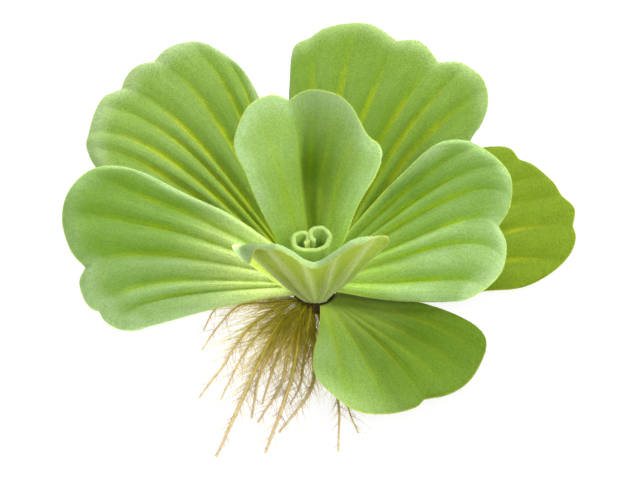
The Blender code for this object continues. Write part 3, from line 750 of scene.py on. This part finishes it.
def sheet_faces(rows, columns):
    """Faces of a closed sheet: an upper grid, a lower grid after it, and the strips round the rim."""
    index = np.arange(rows * columns).reshape(rows, columns)
    corners = [index[:-1, :-1], index[1:, :-1], index[1:, 1:], index[:-1, 1:]]
    upper = np.stack(corners, -1).reshape(-1, 4)
    lower = upper[:, [0, 3, 2, 1]] + index.size
    rim = np.concatenate([index[0], index[1:, -1], index[-1, -2::-1], index[-2:0:-1, 0]])
    following = np.roll(rim, -1)
    strips = np.stack([rim, following, following + index.size, rim + index.size], -1)
    return np.vstack([np.stack([upper, lower], 1).reshape(-1, 4), strips]).tolist()


def carry(mesh, field, values, kind="FLOAT"):
    """Store a number or vector for each point under a name, for the trees and materials to read."""
    attribute = mesh.attributes.new(field, kind, "POINT")
    slot = "value" if kind == "FLOAT" else "vector"
    attribute.data.foreach_set(slot, np.asarray(values, np.float32).ravel())


def sheet_mesh(name, place, lift, thickness, fan, velvet, shared):
    """A closed sheet whose two grids both lie at place, with all that the trees and the tissue read.

    Each field is a pair, for the upper grid and the lower one; the shared fields are the same on both.
    """
    depth = -sheet_normals(place) * thickness[..., None] * MM
    fields = {field: (value, value) for field, value in shared.items()}
    fields |= {"under": (0, 1), "velvet": velvet}
    vectors = {"lift": (lift, lift), "depth": (0 * depth, depth), "fan_mm": (fan, fan)}
    mesh = bpy.data.meshes.new(name)
    points = np.tile(place.reshape(-1, 3), (2, 1)) * MM
    mesh.from_pydata(points.tolist(), [], sheet_faces(*place.shape[:2]))
    for field, sides in fields.items():
        carry(mesh, field, [np.broadcast_to(side, place.shape[:2]) for side in sides])
    for field, sides in vectors.items():
        carry(mesh, field, sides, "FLOAT_VECTOR")
    return mesh


def rounded(rim, thickness, distance, width):
    """Thickness that grows from that of the rim as a circle does, over a width."""
    return rim + (thickness - rim) * np.sqrt(np.clip(distance / width, 0, 1))


def groove_distance(phase, pleat_width):
    """How far each point is from the nearest vein."""
    return np.abs(phase - np.round(phase)) * pleat_width


# %% Where a blade swells and where it is hollow
SWELL = 0.25                     # slow swells in millimetres, which keep the blade from looking machined
SWELL_ALONG, SWELL_ACROSS = 7, 6
CREASE = (-0.2, 0.05)            # a hollow ends at its crease, over this many pleats
HOLLOW_STARTS, HOLLOW_ENDS = (0.02, 0.12), (0.50, 0.92)


def bell(phase, centre, width):
    """1 at a place across the pleats, fading away on both sides of it."""
    return np.exp(-((phase - centre) / width) ** 2)


def swelling(leaf, flat, phase, reach, seed):
    """The height of the smooth blade's own swells and of those that the leaf names."""
    swell = SWELL * np.sin(flat[..., 0] / SWELL_ALONG + seed)
    swell = swell * np.sin(flat[..., 1] / SWELL_ACROSS + 2 * seed) * reach
    for centre, height, width, starts, full in leaf["swells"]:
        swell = swell + height * bell(phase, centre, width) * eased(starts, full, reach)
    return swell


def painted_shade_in_hollow(leaf, phase, reach):
    """Where a shaded hollow is painted deep green, up to its crease: painted shade."""
    if "painted_hollow" not in leaf:
        return np.zeros(reach.shape)
    centre, width, crease, amount = leaf["painted_hollow"]
    up_to_crease = 1 - eased(crease + CREASE[0], crease + CREASE[1], phase)
    return (amount * bell(phase, centre, width) * up_to_crease
            * eased(*HOLLOW_STARTS, reach) * (1 - eased(*HOLLOW_ENDS, reach)))


# %% How thick a blade is and how strong its pleats are
PLEATS_VARY = (0.8, 1.15)


def blade_thickness(columns, reach, margin_mm):
    """Spongy at the base, thinner towards the margin and the sides, with a rounded rim."""
    off_side = np.minimum(columns, 1 - columns)[None, :]
    stages = [(0, BASE_THICKNESS), (BLADE_STARTS, BLADE_THICKNESS), (1, NEAR_MARGIN_THICKNESS)]
    side_share = np.clip(off_side / SIDE_TAPER, 0, 1)
    thickness = NEAR_MARGIN_THICKNESS + (table(stages, reach) - NEAR_MARGIN_THICKNESS) * side_share
    thickness = rounded(RIM_THICKNESS, thickness, margin_mm, RIM_WIDTH)
    thickness[0] = BASE_THICKNESS
    return thickness


def pleat_strength(phase, reach, seed):
    """Pleats rise from the base and sink towards the margin, each to a height of its own."""
    pleats = np.random.default_rng(seed).uniform(*PLEATS_VARY, int(phase[-1]) + 1)
    own = pleats[np.minimum(phase, phase[-1] - 1e-6).astype(int)]
    grows = np.clip(reach / PLEAT_RISE_END, 0, 1)
    fades = np.clip((reach - PLEAT_FADE_START) / (1 - PLEAT_FADE_START), 0, 1)
    return grows * (1 - fades * (1 - PLEAT_AT_MARGIN)) * own


# %% Where the felt is thick
FELT_ON_CREST = 0.70
FELT_IN_GROOVE = 0.03
# Felt near the margin is paler where the blade curls away: partly painted sheen.
MARGIN_FELT_AND_SHEEN = 0.50
MARGIN_FELT_AND_SHEEN_ENDS = (0.5, 8.0)    # millimetres from the margin
MARGIN_FELT_AND_SHEEN_STARTS = (0.1, 0.4)  # share of the way from the base
FULL_FOLD = 1.1
# Slopes that face the lamp behind the plant get paler felt: painted light.
FACING_GAIN = 2.5
FACING_SLOPE = (0.1, 0.9)
CREST_PART = 0.4
EVEN_FELT = 0.5


def felt_and_painted_light(leaf, phase, reach, strength, margin_mm, hollow):
    """How well the felt hides the clear green tissue.

    It does so on the crests; on the slopes that face the back, where the hairs are lit from behind, the
    paler felt is painted light, and near the margin it is partly painted sheen. Where the folds are
    slight, so is the difference.
    """
    facing = np.clip(FACING_GAIN * math.cos(math.radians(leaf["heading"])), -1, 1)
    to_back = 0.5 + (phase % 1 - 0.5) * facing
    crest = np.abs(np.sin(np.pi * phase))
    share = CREST_PART * crest + (1 - CREST_PART) * eased(*FACING_SLOPE, to_back)
    folded = np.clip(strength * leaf["pleat_height"] / FULL_FOLD, 0, 1)
    share = EVEN_FELT + (share - EVEN_FELT) * folded
    on_folds = FELT_IN_GROOVE + (FELT_ON_CREST - FELT_IN_GROOVE) * share
    on_folds = on_folds * eased(*leaf["felt_rises"], reach)
    by_margin = (leaf["margin_felt_and_sheen"] * MARGIN_FELT_AND_SHEEN * (1 - eased(*MARGIN_FELT_AND_SHEEN_ENDS, margin_mm))
                 * eased(*MARGIN_FELT_AND_SHEEN_STARTS, reach))
    return np.clip(table(leaf["felt"], phase) * (on_folds + by_margin) * (1 - hollow), 0, 1)


# %% One blade
HAIR_WHERE_BARE = 0.20
HAIR_STARTS = (0.08, 0.4)
HAIR_GONE_IN_HOLLOW = 0.85
UNDERSIDE_VELVET = 0.25
VEIN_FADES = (0.68, 0.94)
FAN_STRETCH = 12
FAN_PLEAT_WIDTH = 6


def blade_mesh(name, leaf, seed):
    """The smooth sheet of one leaf with everything that the pleating and the material read."""
    flat, columns, phase = flat_fan(leaf)
    grid, drop = curl_margin(leaf, flat, columns)
    if "flap" in leaf:
        grid, flap_drop = fold_corner(grid, *leaf["flap"])
        drop = drop + flap_drop
    reach = np.broadcast_to(ROWS[:, None], grid.shape[:2])
    swell = swelling(leaf, flat, phase, reach, seed)
    hollow = painted_shade_in_hollow(leaf, phase, reach)
    place = bend(leaf, grid, swell - drop)
    lift = bend(leaf, grid, swell - drop + 1.0) - place
    run = lengths_along(flat)
    to_sides = lengths_along(flat.transpose(1, 0, 2)).T
    margin_mm = np.minimum(run[-1] - run, np.minimum(to_sides, to_sides[:, -1:] - to_sides))
    strength = pleat_strength(phase, reach, seed)
    felt_and_painted_light_share = felt_and_painted_light(leaf, phase, reach, strength, margin_mm, hollow)
    hair = HAIR_WHERE_BARE + (1 - HAIR_WHERE_BARE) * felt_and_painted_light_share
    hair = hair * eased(*HAIR_STARTS, reach) * (1 - HAIR_GONE_IN_HOLLOW * hollow)
    fan = np.stack([phase * FAN_PLEAT_WIDTH + 0 * reach, run / FAN_STRETCH, 0 * run], -1)
    thickness = blade_thickness(columns, reach, margin_mm)
    return sheet_mesh(
        name, place, lift, thickness, fan, (hair, hair * UNDERSIDE_VELVET),
        {"phase": phase, "reach": reach, "strength": strength, "margin_mm": margin_mm, "felt": felt_and_painted_light_share,
         "groove_mm": groove_distance(phase, np.gradient(to_sides, axis=1) * SPANS_PER_PLEAT),
         # The hollow's deep green is painted shade, the tone across the pleats is partly painted light and
         # shade, and the glow is painted light through the base.
         "painted_shade": hollow, "tone": table(leaf["tones"], phase), "glow": leaf["glow"],
         "vein": leaf["vein"] * (1 - eased(*VEIN_FADES, reach))})


# %% Dressing the leaves
PLEAT_SIZES = {"Nerve Height": 0.05 * MM, "Rib Height": 0.40 * MM, "Rib Width": 1.4}
VELVET_SIZES = {
    "Density": 5.0 / MM ** 2, "Hair Length": 0.50 * MM, "Hair Width": 0.045 * MM, "Lean": 0.7}


def hand_over(piece, slot, *nodes):
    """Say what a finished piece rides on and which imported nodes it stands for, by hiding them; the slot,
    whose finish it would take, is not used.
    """
    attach(piece, "root")
    if nodes:
        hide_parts(*nodes)


def dress_leaf(name, mesh, seed, pleat_height, tissue, slot):
    """Pleat a leaf's sheet, then cover it with its felt of hairs."""
    blade = grow(name + "_blade", PLEATING, mesh, {
        "Pleat Height": pleat_height * MM, "Material": TISSUES[tissue], **PLEAT_SIZES})
    velvet = grow(name + "_velvet", VELVET, blade.data, {"Seed": seed, "Material": FELT, **VELVET_SIZES})
    hand_over(blade, slot, name)
    hand_over(velvet, slot)
    print(name, "blade", triangles(blade), "velvet", triangles(velvet), "triangles")


for seed, (name, leaf) in enumerate(LEAVES.items(), 1):
    mesh = blade_mesh(name, leaf, seed)
    dress_leaf(name, mesh, seed, leaf["pleat_height"], leaf["tissue"], leaf["slot"])

# %% [markdown]
# ## The rolled leaf
#
# The youngest leaf is still rolled up from both sides, so from above it is a heart: two scrolls that
# tighten inwards, joined by a flat front wall. A logarithmic spiral tightens by the same share each turn,
# as a leaf that unrolls evenly does. It is the same kind of closed sheet, so the same trees finish it.

# %% Two scrolls
SCROLLS = {"left": (3.0, 0.90), "right": (4.1, 1.15)}
SCROLL_TURN = 350
FRONT_WALL = {"left": 1.2, "right": 1.5}
ROLLED_BASE = (-1.6, -2.2, 13.4)
ROLLED_FLATNESS = 0.88
ROLLED_HEIGHT = 11.5
ROLLED_RIM_RISE = 2.2
ROLLED_BASE_SCALE = 0.62
ROLLED_THICKNESS = 1.25
ROLLED_RIM_THICKNESS = 1.15
ROLLED_RIM_WIDTH = 0.4
ROLLED_PLEATS = 10
ROLLED_PLEAT_STRENGTH = 0.25
# A lift of the rolled leaf's whole colour, painted light against the shade on its front wall.
ROLLED_TONE_AND_PAINTED_LIGHT = 1.2
OUTER_VELVET = 0.3
SCROLL_SPANS = 60


def scroll(side, sign):
    """Half of the rolled leaf's section, from the middle of its front wall to its inner end."""
    start, end = SCROLLS[side]
    turn = math.radians(SCROLL_TURN)
    rate = math.log(start / end) / turn
    points = [(0.0, 0.0)]
    for step in range(SCROLL_SPANS + 1):
        angle = turn * step / SCROLL_SPANS
        shrink = start * math.exp(-rate * angle)
        x = (shrink * (math.sin(angle) - rate * math.cos(angle)) + start * rate) / (1 + rate ** 2)
        y = (start - shrink * (math.cos(angle) + rate * math.sin(angle))) / (1 + rate ** 2)
        points.append((sign * (FRONT_WALL[side] + x), y))
    return points


def rolled_mesh():
    """The closed sheet of the rolled leaf, its inside counted as the upper face."""
    section = np.array(scroll("left", -1)[:0:-1] + scroll("right", 1)) * (1, ROLLED_FLATNESS)
    depth = section[:, 1].max()
    heights = np.concatenate([np.linspace(0, 0.96, 25), [0.975, 0.99, 1.0]])
    scale = ROLLED_BASE_SCALE + (1 - ROLLED_BASE_SCALE) * heights[:, None]
    rise = heights[:, None] * (ROLLED_HEIGHT + ROLLED_RIM_RISE * section[:, 1] / depth)
    x = section[:, 0] * scale
    y = (section[:, 1] - depth / 2) * scale + depth / 2
    place = np.stack([x, y, rise], -1) + np.array(ROLLED_BASE)
    to_rim = lengths_along(place)[-1] - lengths_along(place)
    across = lengths_along(section) / lengths_along(section)[-1]
    phase = np.broadcast_to(across * ROLLED_PLEATS, x.shape)
    thickness = rounded(ROLLED_RIM_THICKNESS, ROLLED_THICKNESS, to_rim, ROLLED_RIM_WIDTH)
    reach = np.broadcast_to(heights[:, None], x.shape)
    width = lengths_along(section)[-1] / ROLLED_PLEATS
    fan = np.stack([phase * width, lengths_along(place) / FAN_STRETCH, 0 * reach], -1)
    return sheet_mesh(
        "leaf_rolled", place, sheet_normals(place), thickness, fan, (OUTER_VELVET * reach, reach),
        {"phase": phase, "reach": reach, "strength": ROLLED_PLEAT_STRENGTH, "margin_mm": to_rim,
         "groove_mm": groove_distance(phase, width), "felt": reach, "tone": ROLLED_TONE_AND_PAINTED_LIGHT,
         "glow": 0, "painted_shade": 0, "vein": 0})


dress_leaf("leaf_rolled", rolled_mesh(), 11, 0.7, "young_leaf_tissue", "young_leaf")

# %% [markdown]
# ## The crown
#
# The stem is a squat cone, hardly seen: leaves clasp its sides and roots leave it all round. What shows
# is dark and fibrous, from old root stubs and dead leaf bases. The cone is turned like a pot on a wheel
# and ringed with leaf scars; the velvet tree, with longer and wilder hairs, gives it its fibres.

# %% Crown material
def crown_tissue():
    """Old stem tissue: dark olive brown, streaked up and down."""
    made, add, shader = new_material("dark_fibrous_crown")
    place = add(PLACE).outputs["Object"]
    stretched = add("ShaderNodeMapping", {"Vector": place, "Scale": (1.0, 1.0, 0.3)})
    streaks = add(NOISE, {"Vector": stretched, "Scale": 1 / (0.7 * MM), "Detail": 4.0})
    tone = add(RANGE, [streaks, 0.35, 0.65])
    shade = add(MIX, [tone, tint("#2d2608"), tint("#6d6318")], **COLOUR)
    bumps = add(BUMP, {"Height": streaks, "Strength": 0.6, "Distance": 0.3 * MM})
    plug(shader, {"Base Color": shade, "Normal": bumps, "Roughness": 0.75})
    return made


CROWN = crown_tissue()

# %% Turning the crown
STEM_PROFILE = [(0.0, 6.0), (1.6, 5.7), (4.0, 4.9), (6.5, 4.0), (9.0, 3.2), (11.5, 2.5), (13.0, 1.5)]
CROWN_SIDES = 72
CROWN_RINGS = 40
SCAR_SPACING = 1.3
SCAR_DEPTH = 0.22
KNOB_HEIGHT = 0.18
CROWN_INSET = 0.25
TIP_RISE = 0.4
FIBRES_START = (2.5, 4.0)
FIBRES_END = 9


def crown_mesh():
    """A closed cone of rings, flat underneath, with shallow scars and knobs."""
    heights = np.linspace(0, STEM_PROFILE[-1][0], CROWN_RINGS)[:, None]
    angles = np.linspace(0, math.tau, CROWN_SIDES, endpoint=False)[None, :]
    radius = table(STEM_PROFILE, heights)
    scars = SCAR_DEPTH * np.abs(np.sin(np.pi * (heights / SCAR_SPACING + angles / math.tau)))
    knobs = KNOB_HEIGHT * np.sin(9 * angles + 2.1 * heights) * np.sin(1.7 * heights + 3 * angles)
    radius = radius - CROWN_INSET + scars + knobs
    ring_x = radius * np.cos(angles)
    ring_y = radius * np.sin(angles)
    rings = np.stack([ring_x, ring_y, np.broadcast_to(heights, ring_x.shape)], -1).reshape(-1, 3)
    points = np.vstack([rings, [[0, 0, 0]], [[0, 0, STEM_PROFILE[-1][0] + TIP_RISE]]]) * MM
    faces = []
    last = (CROWN_RINGS - 1) * CROWN_SIDES
    foot, tip = len(rings), len(rings) + 1
    for j in range(CROWN_SIDES):
        k = (j + 1) % CROWN_SIDES
        faces += [(foot, k, j), (last + j, last + k, tip)]
        for i in range(CROWN_RINGS - 1):
            a = i * CROWN_SIDES
            faces.append((a + j, a + k, a + CROWN_SIDES + k, a + CROWN_SIDES + j))
    mesh = bpy.data.meshes.new("stem_crown")
    mesh.from_pydata(points.tolist(), [], faces)
    mesh.shade_smooth()
    level = points[:, 2] / MM
    carry(mesh, "velvet", eased(*FIBRES_START, level) * (level < FIBRES_END))
    mesh.materials.append(CROWN)
    return mesh


crown = put("stem_crown", crown_mesh())
hand_over(crown, "stem_crown", "stem")
fibres = grow("stem_fibres", VELVET, crown.data, {
    "Density": 6.0 / MM ** 2, "Hair Length": 2.0 * MM, "Hair Width": 0.07 * MM, "Lean": 1.1, "Seed": 5,
    "Material": CROWN})
hand_over(fibres, "stem_crown")
print("crown", triangles(crown), "fibres", triangles(fibres), "triangles")

# %% [markdown]
# ## The roots
#
# A main root is a cord about a millimetre thick, olive where it leaves the crown, then straw yellow, and
# paler towards its tip. Hundreds of side roots leave it at a slant, all pointing towards the tip, like
# the barbs of a feather. Out of the water they lie along the table. A feather is a rule too: one small
# tree plants side roots along a curve, and the root tree uses it three times, for long strands that run
# along the root, for the side roots and for the short fuzz between them.

# %% Root material
PALER_TOWARDS_TIP = 0.45


def root_tissue():
    """Root tissue: olive at the crown, then straw, paler to the tip; side roots are nearly clear."""
    made, add, shader = new_material("straw_root_tissue")
    share, order, along = (
        add(FIELD, attribute_name=field).outputs["Fac"] for field in ("share", "order", "along"))
    fading = add(MATH, [along, PALER_TOWARDS_TIP], **TIMES)
    pale = add(MATH, [order, fading], operation="MAXIMUM")
    place = add(PLACE).outputs["Object"]
    streaks = add(NOISE, {"Vector": place, "Scale": 1 / (1.2 * MM), "Detail": 3.0})
    ramp = add("ShaderNodeValToRGB", {"Fac": share})
    stops = ramp.color_ramp.elements
    stops[0].position, stops[0].color = 0.0, tint("#989200")
    stops[1].position, stops[1].color = 1.0, tint("#c8b698")
    for position, code in ((0.15, "#d4b820"), (0.35, "#ead066"), (0.65, "#dac48e")):
        stops.new(position).color = tint(code)
    thin = add(RANGE, [share, 0.15, 0.70], **SMOOTH)
    barbs = add(MIX, [thin, tint("#e0cc44"), tint("#d6c6b8")], **COLOUR)
    colour = add(MIX, [pale, ramp.outputs["Color"], barbs], **COLOUR)
    spread = add(RANGE, [streaks, 0.3, 0.7, 0.85, 1.12])
    finished = add(VECTOR_MATH, [colour, spread], **SCALED)
    plug(shader, {
        "Base Color": finished, "Roughness": 0.55, "Specular IOR Level": 0.08,
        "Subsurface Weight": 0.6, "Subsurface Radius": (1.0, 0.8, 0.4), "Subsurface Scale": 1.0 * MM})
    return made


ROOT = root_tissue()

# %% One side root
SIDE_ROOT_BOW = 0.13
SIDE_ROOT_TIP = 0.25


def side_root(add, slenderness):
    """A side root of unit length, bowed a little and tapering to a point."""
    bow = add("GeometryNodeCurveQuadraticBezier", {
        "Resolution": 4, "Start": (0.0, 0.0, 0.0), "Middle": (0.5, SIDE_ROOT_BOW, 0.0),
        "End": (1.0, 0.0, 0.0)})
    along = add("GeometryNodeSplineParameter").outputs["Factor"]
    measured = add(STORE, {"Geometry": bow, "Name": "along", "Value": along})
    taper = add(RANGE, [along, 0.0, 1.0, 1.0, SIDE_ROOT_TIP])
    thickness = add(MATH, [taper, slenderness], **TIMES)
    section = add(CIRCLE, {"Resolution": 3, "Radius": 1.0})
    return add(TUBE, {
        "Curve": measured, "Profile Curve": section, "Scale": thickness, "Fill Caps": True})


# %% How a side root stands
LOWEST_CLIMB = -0.05


def side_root_stance(add, given, tangent, seeds):
    """At a slant to the root on either side of it, a little up or down, and turned round itself."""
    side = add(VECTOR_MATH, [tangent, (0.0, 0.0, 1.0)], operation="CROSS_PRODUCT")
    flip = add(RANDOM, {"Probability": 0.5, "Seed": seeds[0]}, data_type="BOOLEAN")
    sign = add(RANGE, [flip, 0.0, 1.0, -1.0, 1.0])
    angle = add(RANDOM, {"Min": given["Least Angle"], "Max": given["Greatest Angle"], "Seed": seeds[1]})
    ahead = add(MATH, [angle], operation="COSINE")
    aside = add(MATH, [add(MATH, [angle], operation="SINE"), sign], **TIMES)
    forward = add(VECTOR_MATH, [tangent, ahead], **SCALED)
    sideways = add(VECTOR_MATH, [side, aside], **SCALED)
    level = add(VECTOR_MATH, [forward, sideways], **PLUS)
    climb = add(RANDOM, {"Min": LOWEST_CLIMB, "Max": given["Rise"], "Seed": seeds[2]})
    direction = add(VECTOR_MATH, [level, add(COMBINE, {2: climb})], **PLUS)
    aimed = add("FunctionNodeAlignRotationToVector", {"Vector": direction}, axis="X")
    twist = add(RANDOM, {"Min": 0.0, "Max": math.tau, "Seed": seeds[3]})
    turn = add("FunctionNodeAxisAngleToRotation", {"Axis": (1.0, 0.0, 0.0), "Angle": twist})
    return add(TURN, {"Rotation": aimed, "Rotate By": turn}, rotation_space="LOCAL")


# %% How long a side root is
# Share of the way along the main root, and how long side roots are there: nearly full from the crown on,
# longest a third of the way, nothing at the bare tip.
LENGTHS_ALONG_ROOT = [(0.0, 0.9), (0.3, 1.0), (0.9, 0.8), (0.98, 0.3), (1.0, 0.0)]
SIDE_ROOTS_VARY = {"Min": 0.45, "Max": 1.1}


def side_root_length(add, longest, share, seed):
    """The longest length, less towards the tip, and different from one side root to the next."""
    profile = add("ShaderNodeFloatCurve", {"Value": share})
    points = profile.mapping.curves[0].points
    points[0].location = LENGTHS_ALONG_ROOT[0]
    points[1].location = LENGTHS_ALONG_ROOT[-1]
    for x, y in LENGTHS_ALONG_ROOT[1:-1]:
        points.new(x, y)
    profile.mapping.update()
    sized = add(MATH, [profile, add(RANDOM, {**SIDE_ROOTS_VARY, "Seed": seed})], **TIMES)
    return add(MATH, [sized, longest], **TIMES)


# %% Side roots along a curve
def side_root_tree():
    """Plant slanting, tapered side roots along a curve; Keep thins them out towards the tip."""
    tree, add, given = new_tree(
        "Side roots", ("Spacing", "Length", "Slenderness", "Least Angle", "Greatest Angle", "Rise",
                       "Keep", "Order"), Seed="Int")
    share = add(READ, ["share"])
    spots = add("GeometryNodeCurveToPoints", {
        "Curve": given["Geometry"], "Length": given["Spacing"]}, mode="LENGTH")
    left = add(MATH, [1.0, share], **MINUS)
    chance = add(MATH, [left, given["Keep"]], operation="POWER")
    roll = add(RANDOM, {"Min": 0.0, "Max": 1.0, "Seed": given["Seed"]})
    dropped = add("FunctionNodeCompare", {"A": roll, "B": chance}, operation="GREATER_THAN")
    kept = add("GeometryNodeDeleteGeometry", {"Geometry": spots, "Selection": dropped})
    seeds = [add(MATH, [given["Seed"], float(step)], **PLUS) for step in range(1, 6)]
    planted = add(PLANT, {
        "Points": kept, "Instance": side_root(add, given["Slenderness"]),
        "Rotation": side_root_stance(add, given, spots.outputs["Tangent"], seeds),
        "Scale": side_root_length(add, given["Length"], share, seeds[4])})
    marked = add(STORE, {"Geometry": planted, "Name": "order", "Value": given["Order"]},
                 domain="INSTANCE")
    add("NodeGroupOutput", {"Geometry": marked})
    return tree


SIDE_ROOTS = side_root_tree()

# %% A whole root
# Spacing and length inputs, slenderness, angles, rise, how fast they thin out, seed shift and order.
SHOOTS = (("Strand Spacing", "Strand Length", 0.0070, (0.04, 0.50), 0.10, 4.2, 0, 0.2),
          ("Side Root Spacing", "Side Root Length", 0.0220, (0.40, 0.80), 0.05, 0.25, 10, 1.0),
          ("Fuzz Spacing", "Fuzz Length", 0.014, (0.2, 0.9), 0.3, 1.4, 20, 0.6))


def root_tree():
    """A tapered main root with strands, side roots and the fuzz between them, kept above the table."""
    tree, add, given = new_tree(
        "Feathered root", ("Strand Spacing", "Strand Length", "Side Root Spacing", "Side Root Length",
                           "Fuzz Spacing", "Fuzz Length", "Table"), Seed="Int", Material="Material")
    curve = add("GeometryNodeMeshToCurve", {"Mesh": given["Geometry"]})
    radius = add(READ, ["radius"])
    section = add(CIRCLE, {"Resolution": 8, "Radius": 1.0})
    cord = add(TUBE, {"Curve": curve, "Profile Curve": section, "Scale": radius, "Fill Caps": True})
    marked = add(STORE, {"Geometry": cord, "Name": "order", "Value": 0.0})
    joined = add("GeometryNodeJoinGeometry", {"Geometry": marked})
    for spacing, length, slenderness, (least, greatest), rise, keep, shift, order in SHOOTS:
        seed = add(MATH, [given["Seed"], float(shift)], **PLUS)
        shoots = add("GeometryNodeGroup", {
            "Geometry": curve, "Spacing": given[spacing], "Length": given[length],
            "Slenderness": slenderness, "Least Angle": least, "Greatest Angle": greatest, "Rise": rise,
            "Keep": keep, "Order": order, "Seed": seed}, node_tree=SIDE_ROOTS)
        plug(joined, [shoots])
    real = add(REALIZE, {"Geometry": joined})

    def above_table(height):
        """What would go through the table is turned up again."""
        folded = add(MATH, [add(MATH, [height, given["Table"]], **MINUS)], operation="ABSOLUTE")
        return add(MATH, [folded, given["Table"]], **PLUS)

    smooth = add(SHADE, {"Geometry": relevel(add, real, above_table), "Shade Smooth": True})
    hand_out(add, smooth, given["Material"])
    return tree


FEATHERED_ROOT = root_tree()

# %% Laying the roots
ROOT_RADIUS = (0.62, 0.60)
ROOT_LANDS = 11.0
ROOT_POINTS = 60
ROOTS = [
    (166, 0.6, 0.55, [(-14, 2.0), (-21, 0.8), (-27.7, -3.7), (-31, -11.5)]),
    (181, 0.6, 0.55, [(-14, -1.6), (-21, -2.6), (-27, -10), (-31.2, -18.2)]),
    (196, 0.6, 0.65, [(-10.9, -3.3), (-20, -13.3), (-25.5, -24.1), (-31.5, -34.7)]),
    (203, 2.6, 0.55, [(-10, -5.8), (-18, -16.5), (-22.5, -27), (-25.8, -35.5)]),
    (212, 0.6, 1.0, [(-10.0, -10), (-14.1, -19.2), (-20.1, -36.5), (-26.4, -54.2)]),
    (220, 2.6, 0.8, [(-8.6, -9.9), (-12.6, -20), (-15.6, -28.9), (-17.1, -41.7)]),
    (229, 0.6, 0.7, [(-7.0, -10.5), (-10.2, -20), (-12.6, -29), (-14.2, -37)]),
    (238, 2.6, 0.85, [(-5.6, -12), (-7.8, -22), (-9.4, -31), (-15.5, -43)]),
    (247, 0.6, 1.0, [(-3.9, -11), (-5.3, -21), (-8.2, -36), (-13.2, -53)]),
    (256, 2.6, 0.7, [(-2.2, -12), (-2.9, -21), (-3.9, -30), (-6.6, -37)]),
    (265, 0.6, 0.85, [(-0.4, -12), (-0.2, -21), (-1.1, -31.9), (-9.6, -46.4)]),
    (279, 0.6, 0.65, [(2.6, -13), (4.8, -24), (6.4, -37.4), (6.4, -52.6)]),
    (292, 0.6, 0.55, [(4.9, -13), (7.9, -25), (9.0, -38), (11.8, -46.5)]),
    (310, 0.6, 0.8, [(10, -11), (17, -19), (24, -25)]),
    (338, 0.6, 0.8, [(14, -5.5), (24, -8), (36, -9)]),
    (8, 0.6, 0.8, [(15, 2), (27, 6), (38, 5)]),
    (38, 0.6, 0.8, [(13, 10), (22, 20), (27, 32)]),
    (66, 0.6, 0.8, [(8, 16), (13, 29), (12, 43)]),
    (92, 0.6, 0.8, [(0, 16), (-2, 31), (2, 46)]),
    (116, 0.6, 0.8, [(-7.5, 15), (-14, 28), (-15, 42)]),
    (142, 0.6, 0.8, [(-12.5, 10), (-24, 18), (-31, 29)]),
]
ROOT_SIZES = {"Strand Length": 16 * MM, "Side Root Length": 8 * MM, "Fuzz Length": 3.5 * MM,
              "Table": 0.06 * MM}
OPEN_SPACING = {"Strand Spacing": 0.085 * MM, "Side Root Spacing": 0.65 * MM, "Fuzz Spacing": 0.07 * MM}
COVERED_SPACING = {"Strand Spacing": 3.0 * MM, "Side Root Spacing": 0.40 * MM, "Fuzz Spacing": 0.30 * MM}
OPEN_ROOTS = 13
MIDDLING_GIRTH = 0.75
ROOT_INSET = 0.8
TIP_THINS, TIP_STARTS = 0.30, 0.6
SWAY, SWAY_LENGTH, SWAY_STARTS = 0.13, 5.0, 6


def root_line(number, bearing, height, girth, passes):
    """The centre line of one main root as a string of points, with its share of length and radius."""
    dice = np.random.default_rng(100 + number)
    angle = math.radians(bearing)
    inside = table(STEM_PROFILE, height) - ROOT_INSET
    start = (inside * math.cos(angle), inside * math.sin(angle))
    shares = np.arange(ROOT_POINTS + 1) / ROOT_POINTS
    path = at_fractions(smooth_path([start] + passes), shares)
    run = lengths_along(path)
    radii = girth * np.interp(run, [0, run[-1]], ROOT_RADIUS)
    radii = radii * (1 - TIP_THINS * eased(TIP_STARTS, 1.0, shares))
    levels = radii + (height - ROOT_RADIUS[0]) * (1 - eased(0, ROOT_LANDS, run))
    sway = sum(SWAY / k * np.sin(run / (SWAY_LENGTH / k) + dice.uniform(0, math.tau)) for k in (1, 2, 3))
    ahead = np.gradient(path, axis=0)
    ahead /= np.linalg.norm(ahead, axis=1)[:, None]
    aside = np.stack([-ahead[:, 1], ahead[:, 0]], -1)
    path = path + aside * (sway * eased(0, SWAY_STARTS, run) * (1 - 0.5 * shares))[:, None]
    mesh = bpy.data.meshes.new("root_line")
    points = np.column_stack([path, levels]) * MM
    mesh.from_pydata(points.tolist(), [(i, i + 1) for i in range(ROOT_POINTS)], [])
    carry(mesh, "share", shares)
    carry(mesh, "radius", radii * MM)
    return mesh


for number, (bearing, height, girth, passes) in enumerate(ROOTS, 1):
    name = "root_%02d" % number
    # A thin root bears fewer side roots than a thick one.
    spacing = OPEN_SPACING if number <= OPEN_ROOTS else COVERED_SPACING
    spacing = {label: step * MIDDLING_GIRTH / girth for label, step in spacing.items()}
    root = grow(name + "_feathered", FEATHERED_ROOT, root_line(number, bearing, height, girth, passes), {
        "Seed": 40 * number, "Material": ROOT, **ROOT_SIZES, **spacing})
    hand_over(root, "straw_root", name)
    print(name, triangles(root), "triangles")
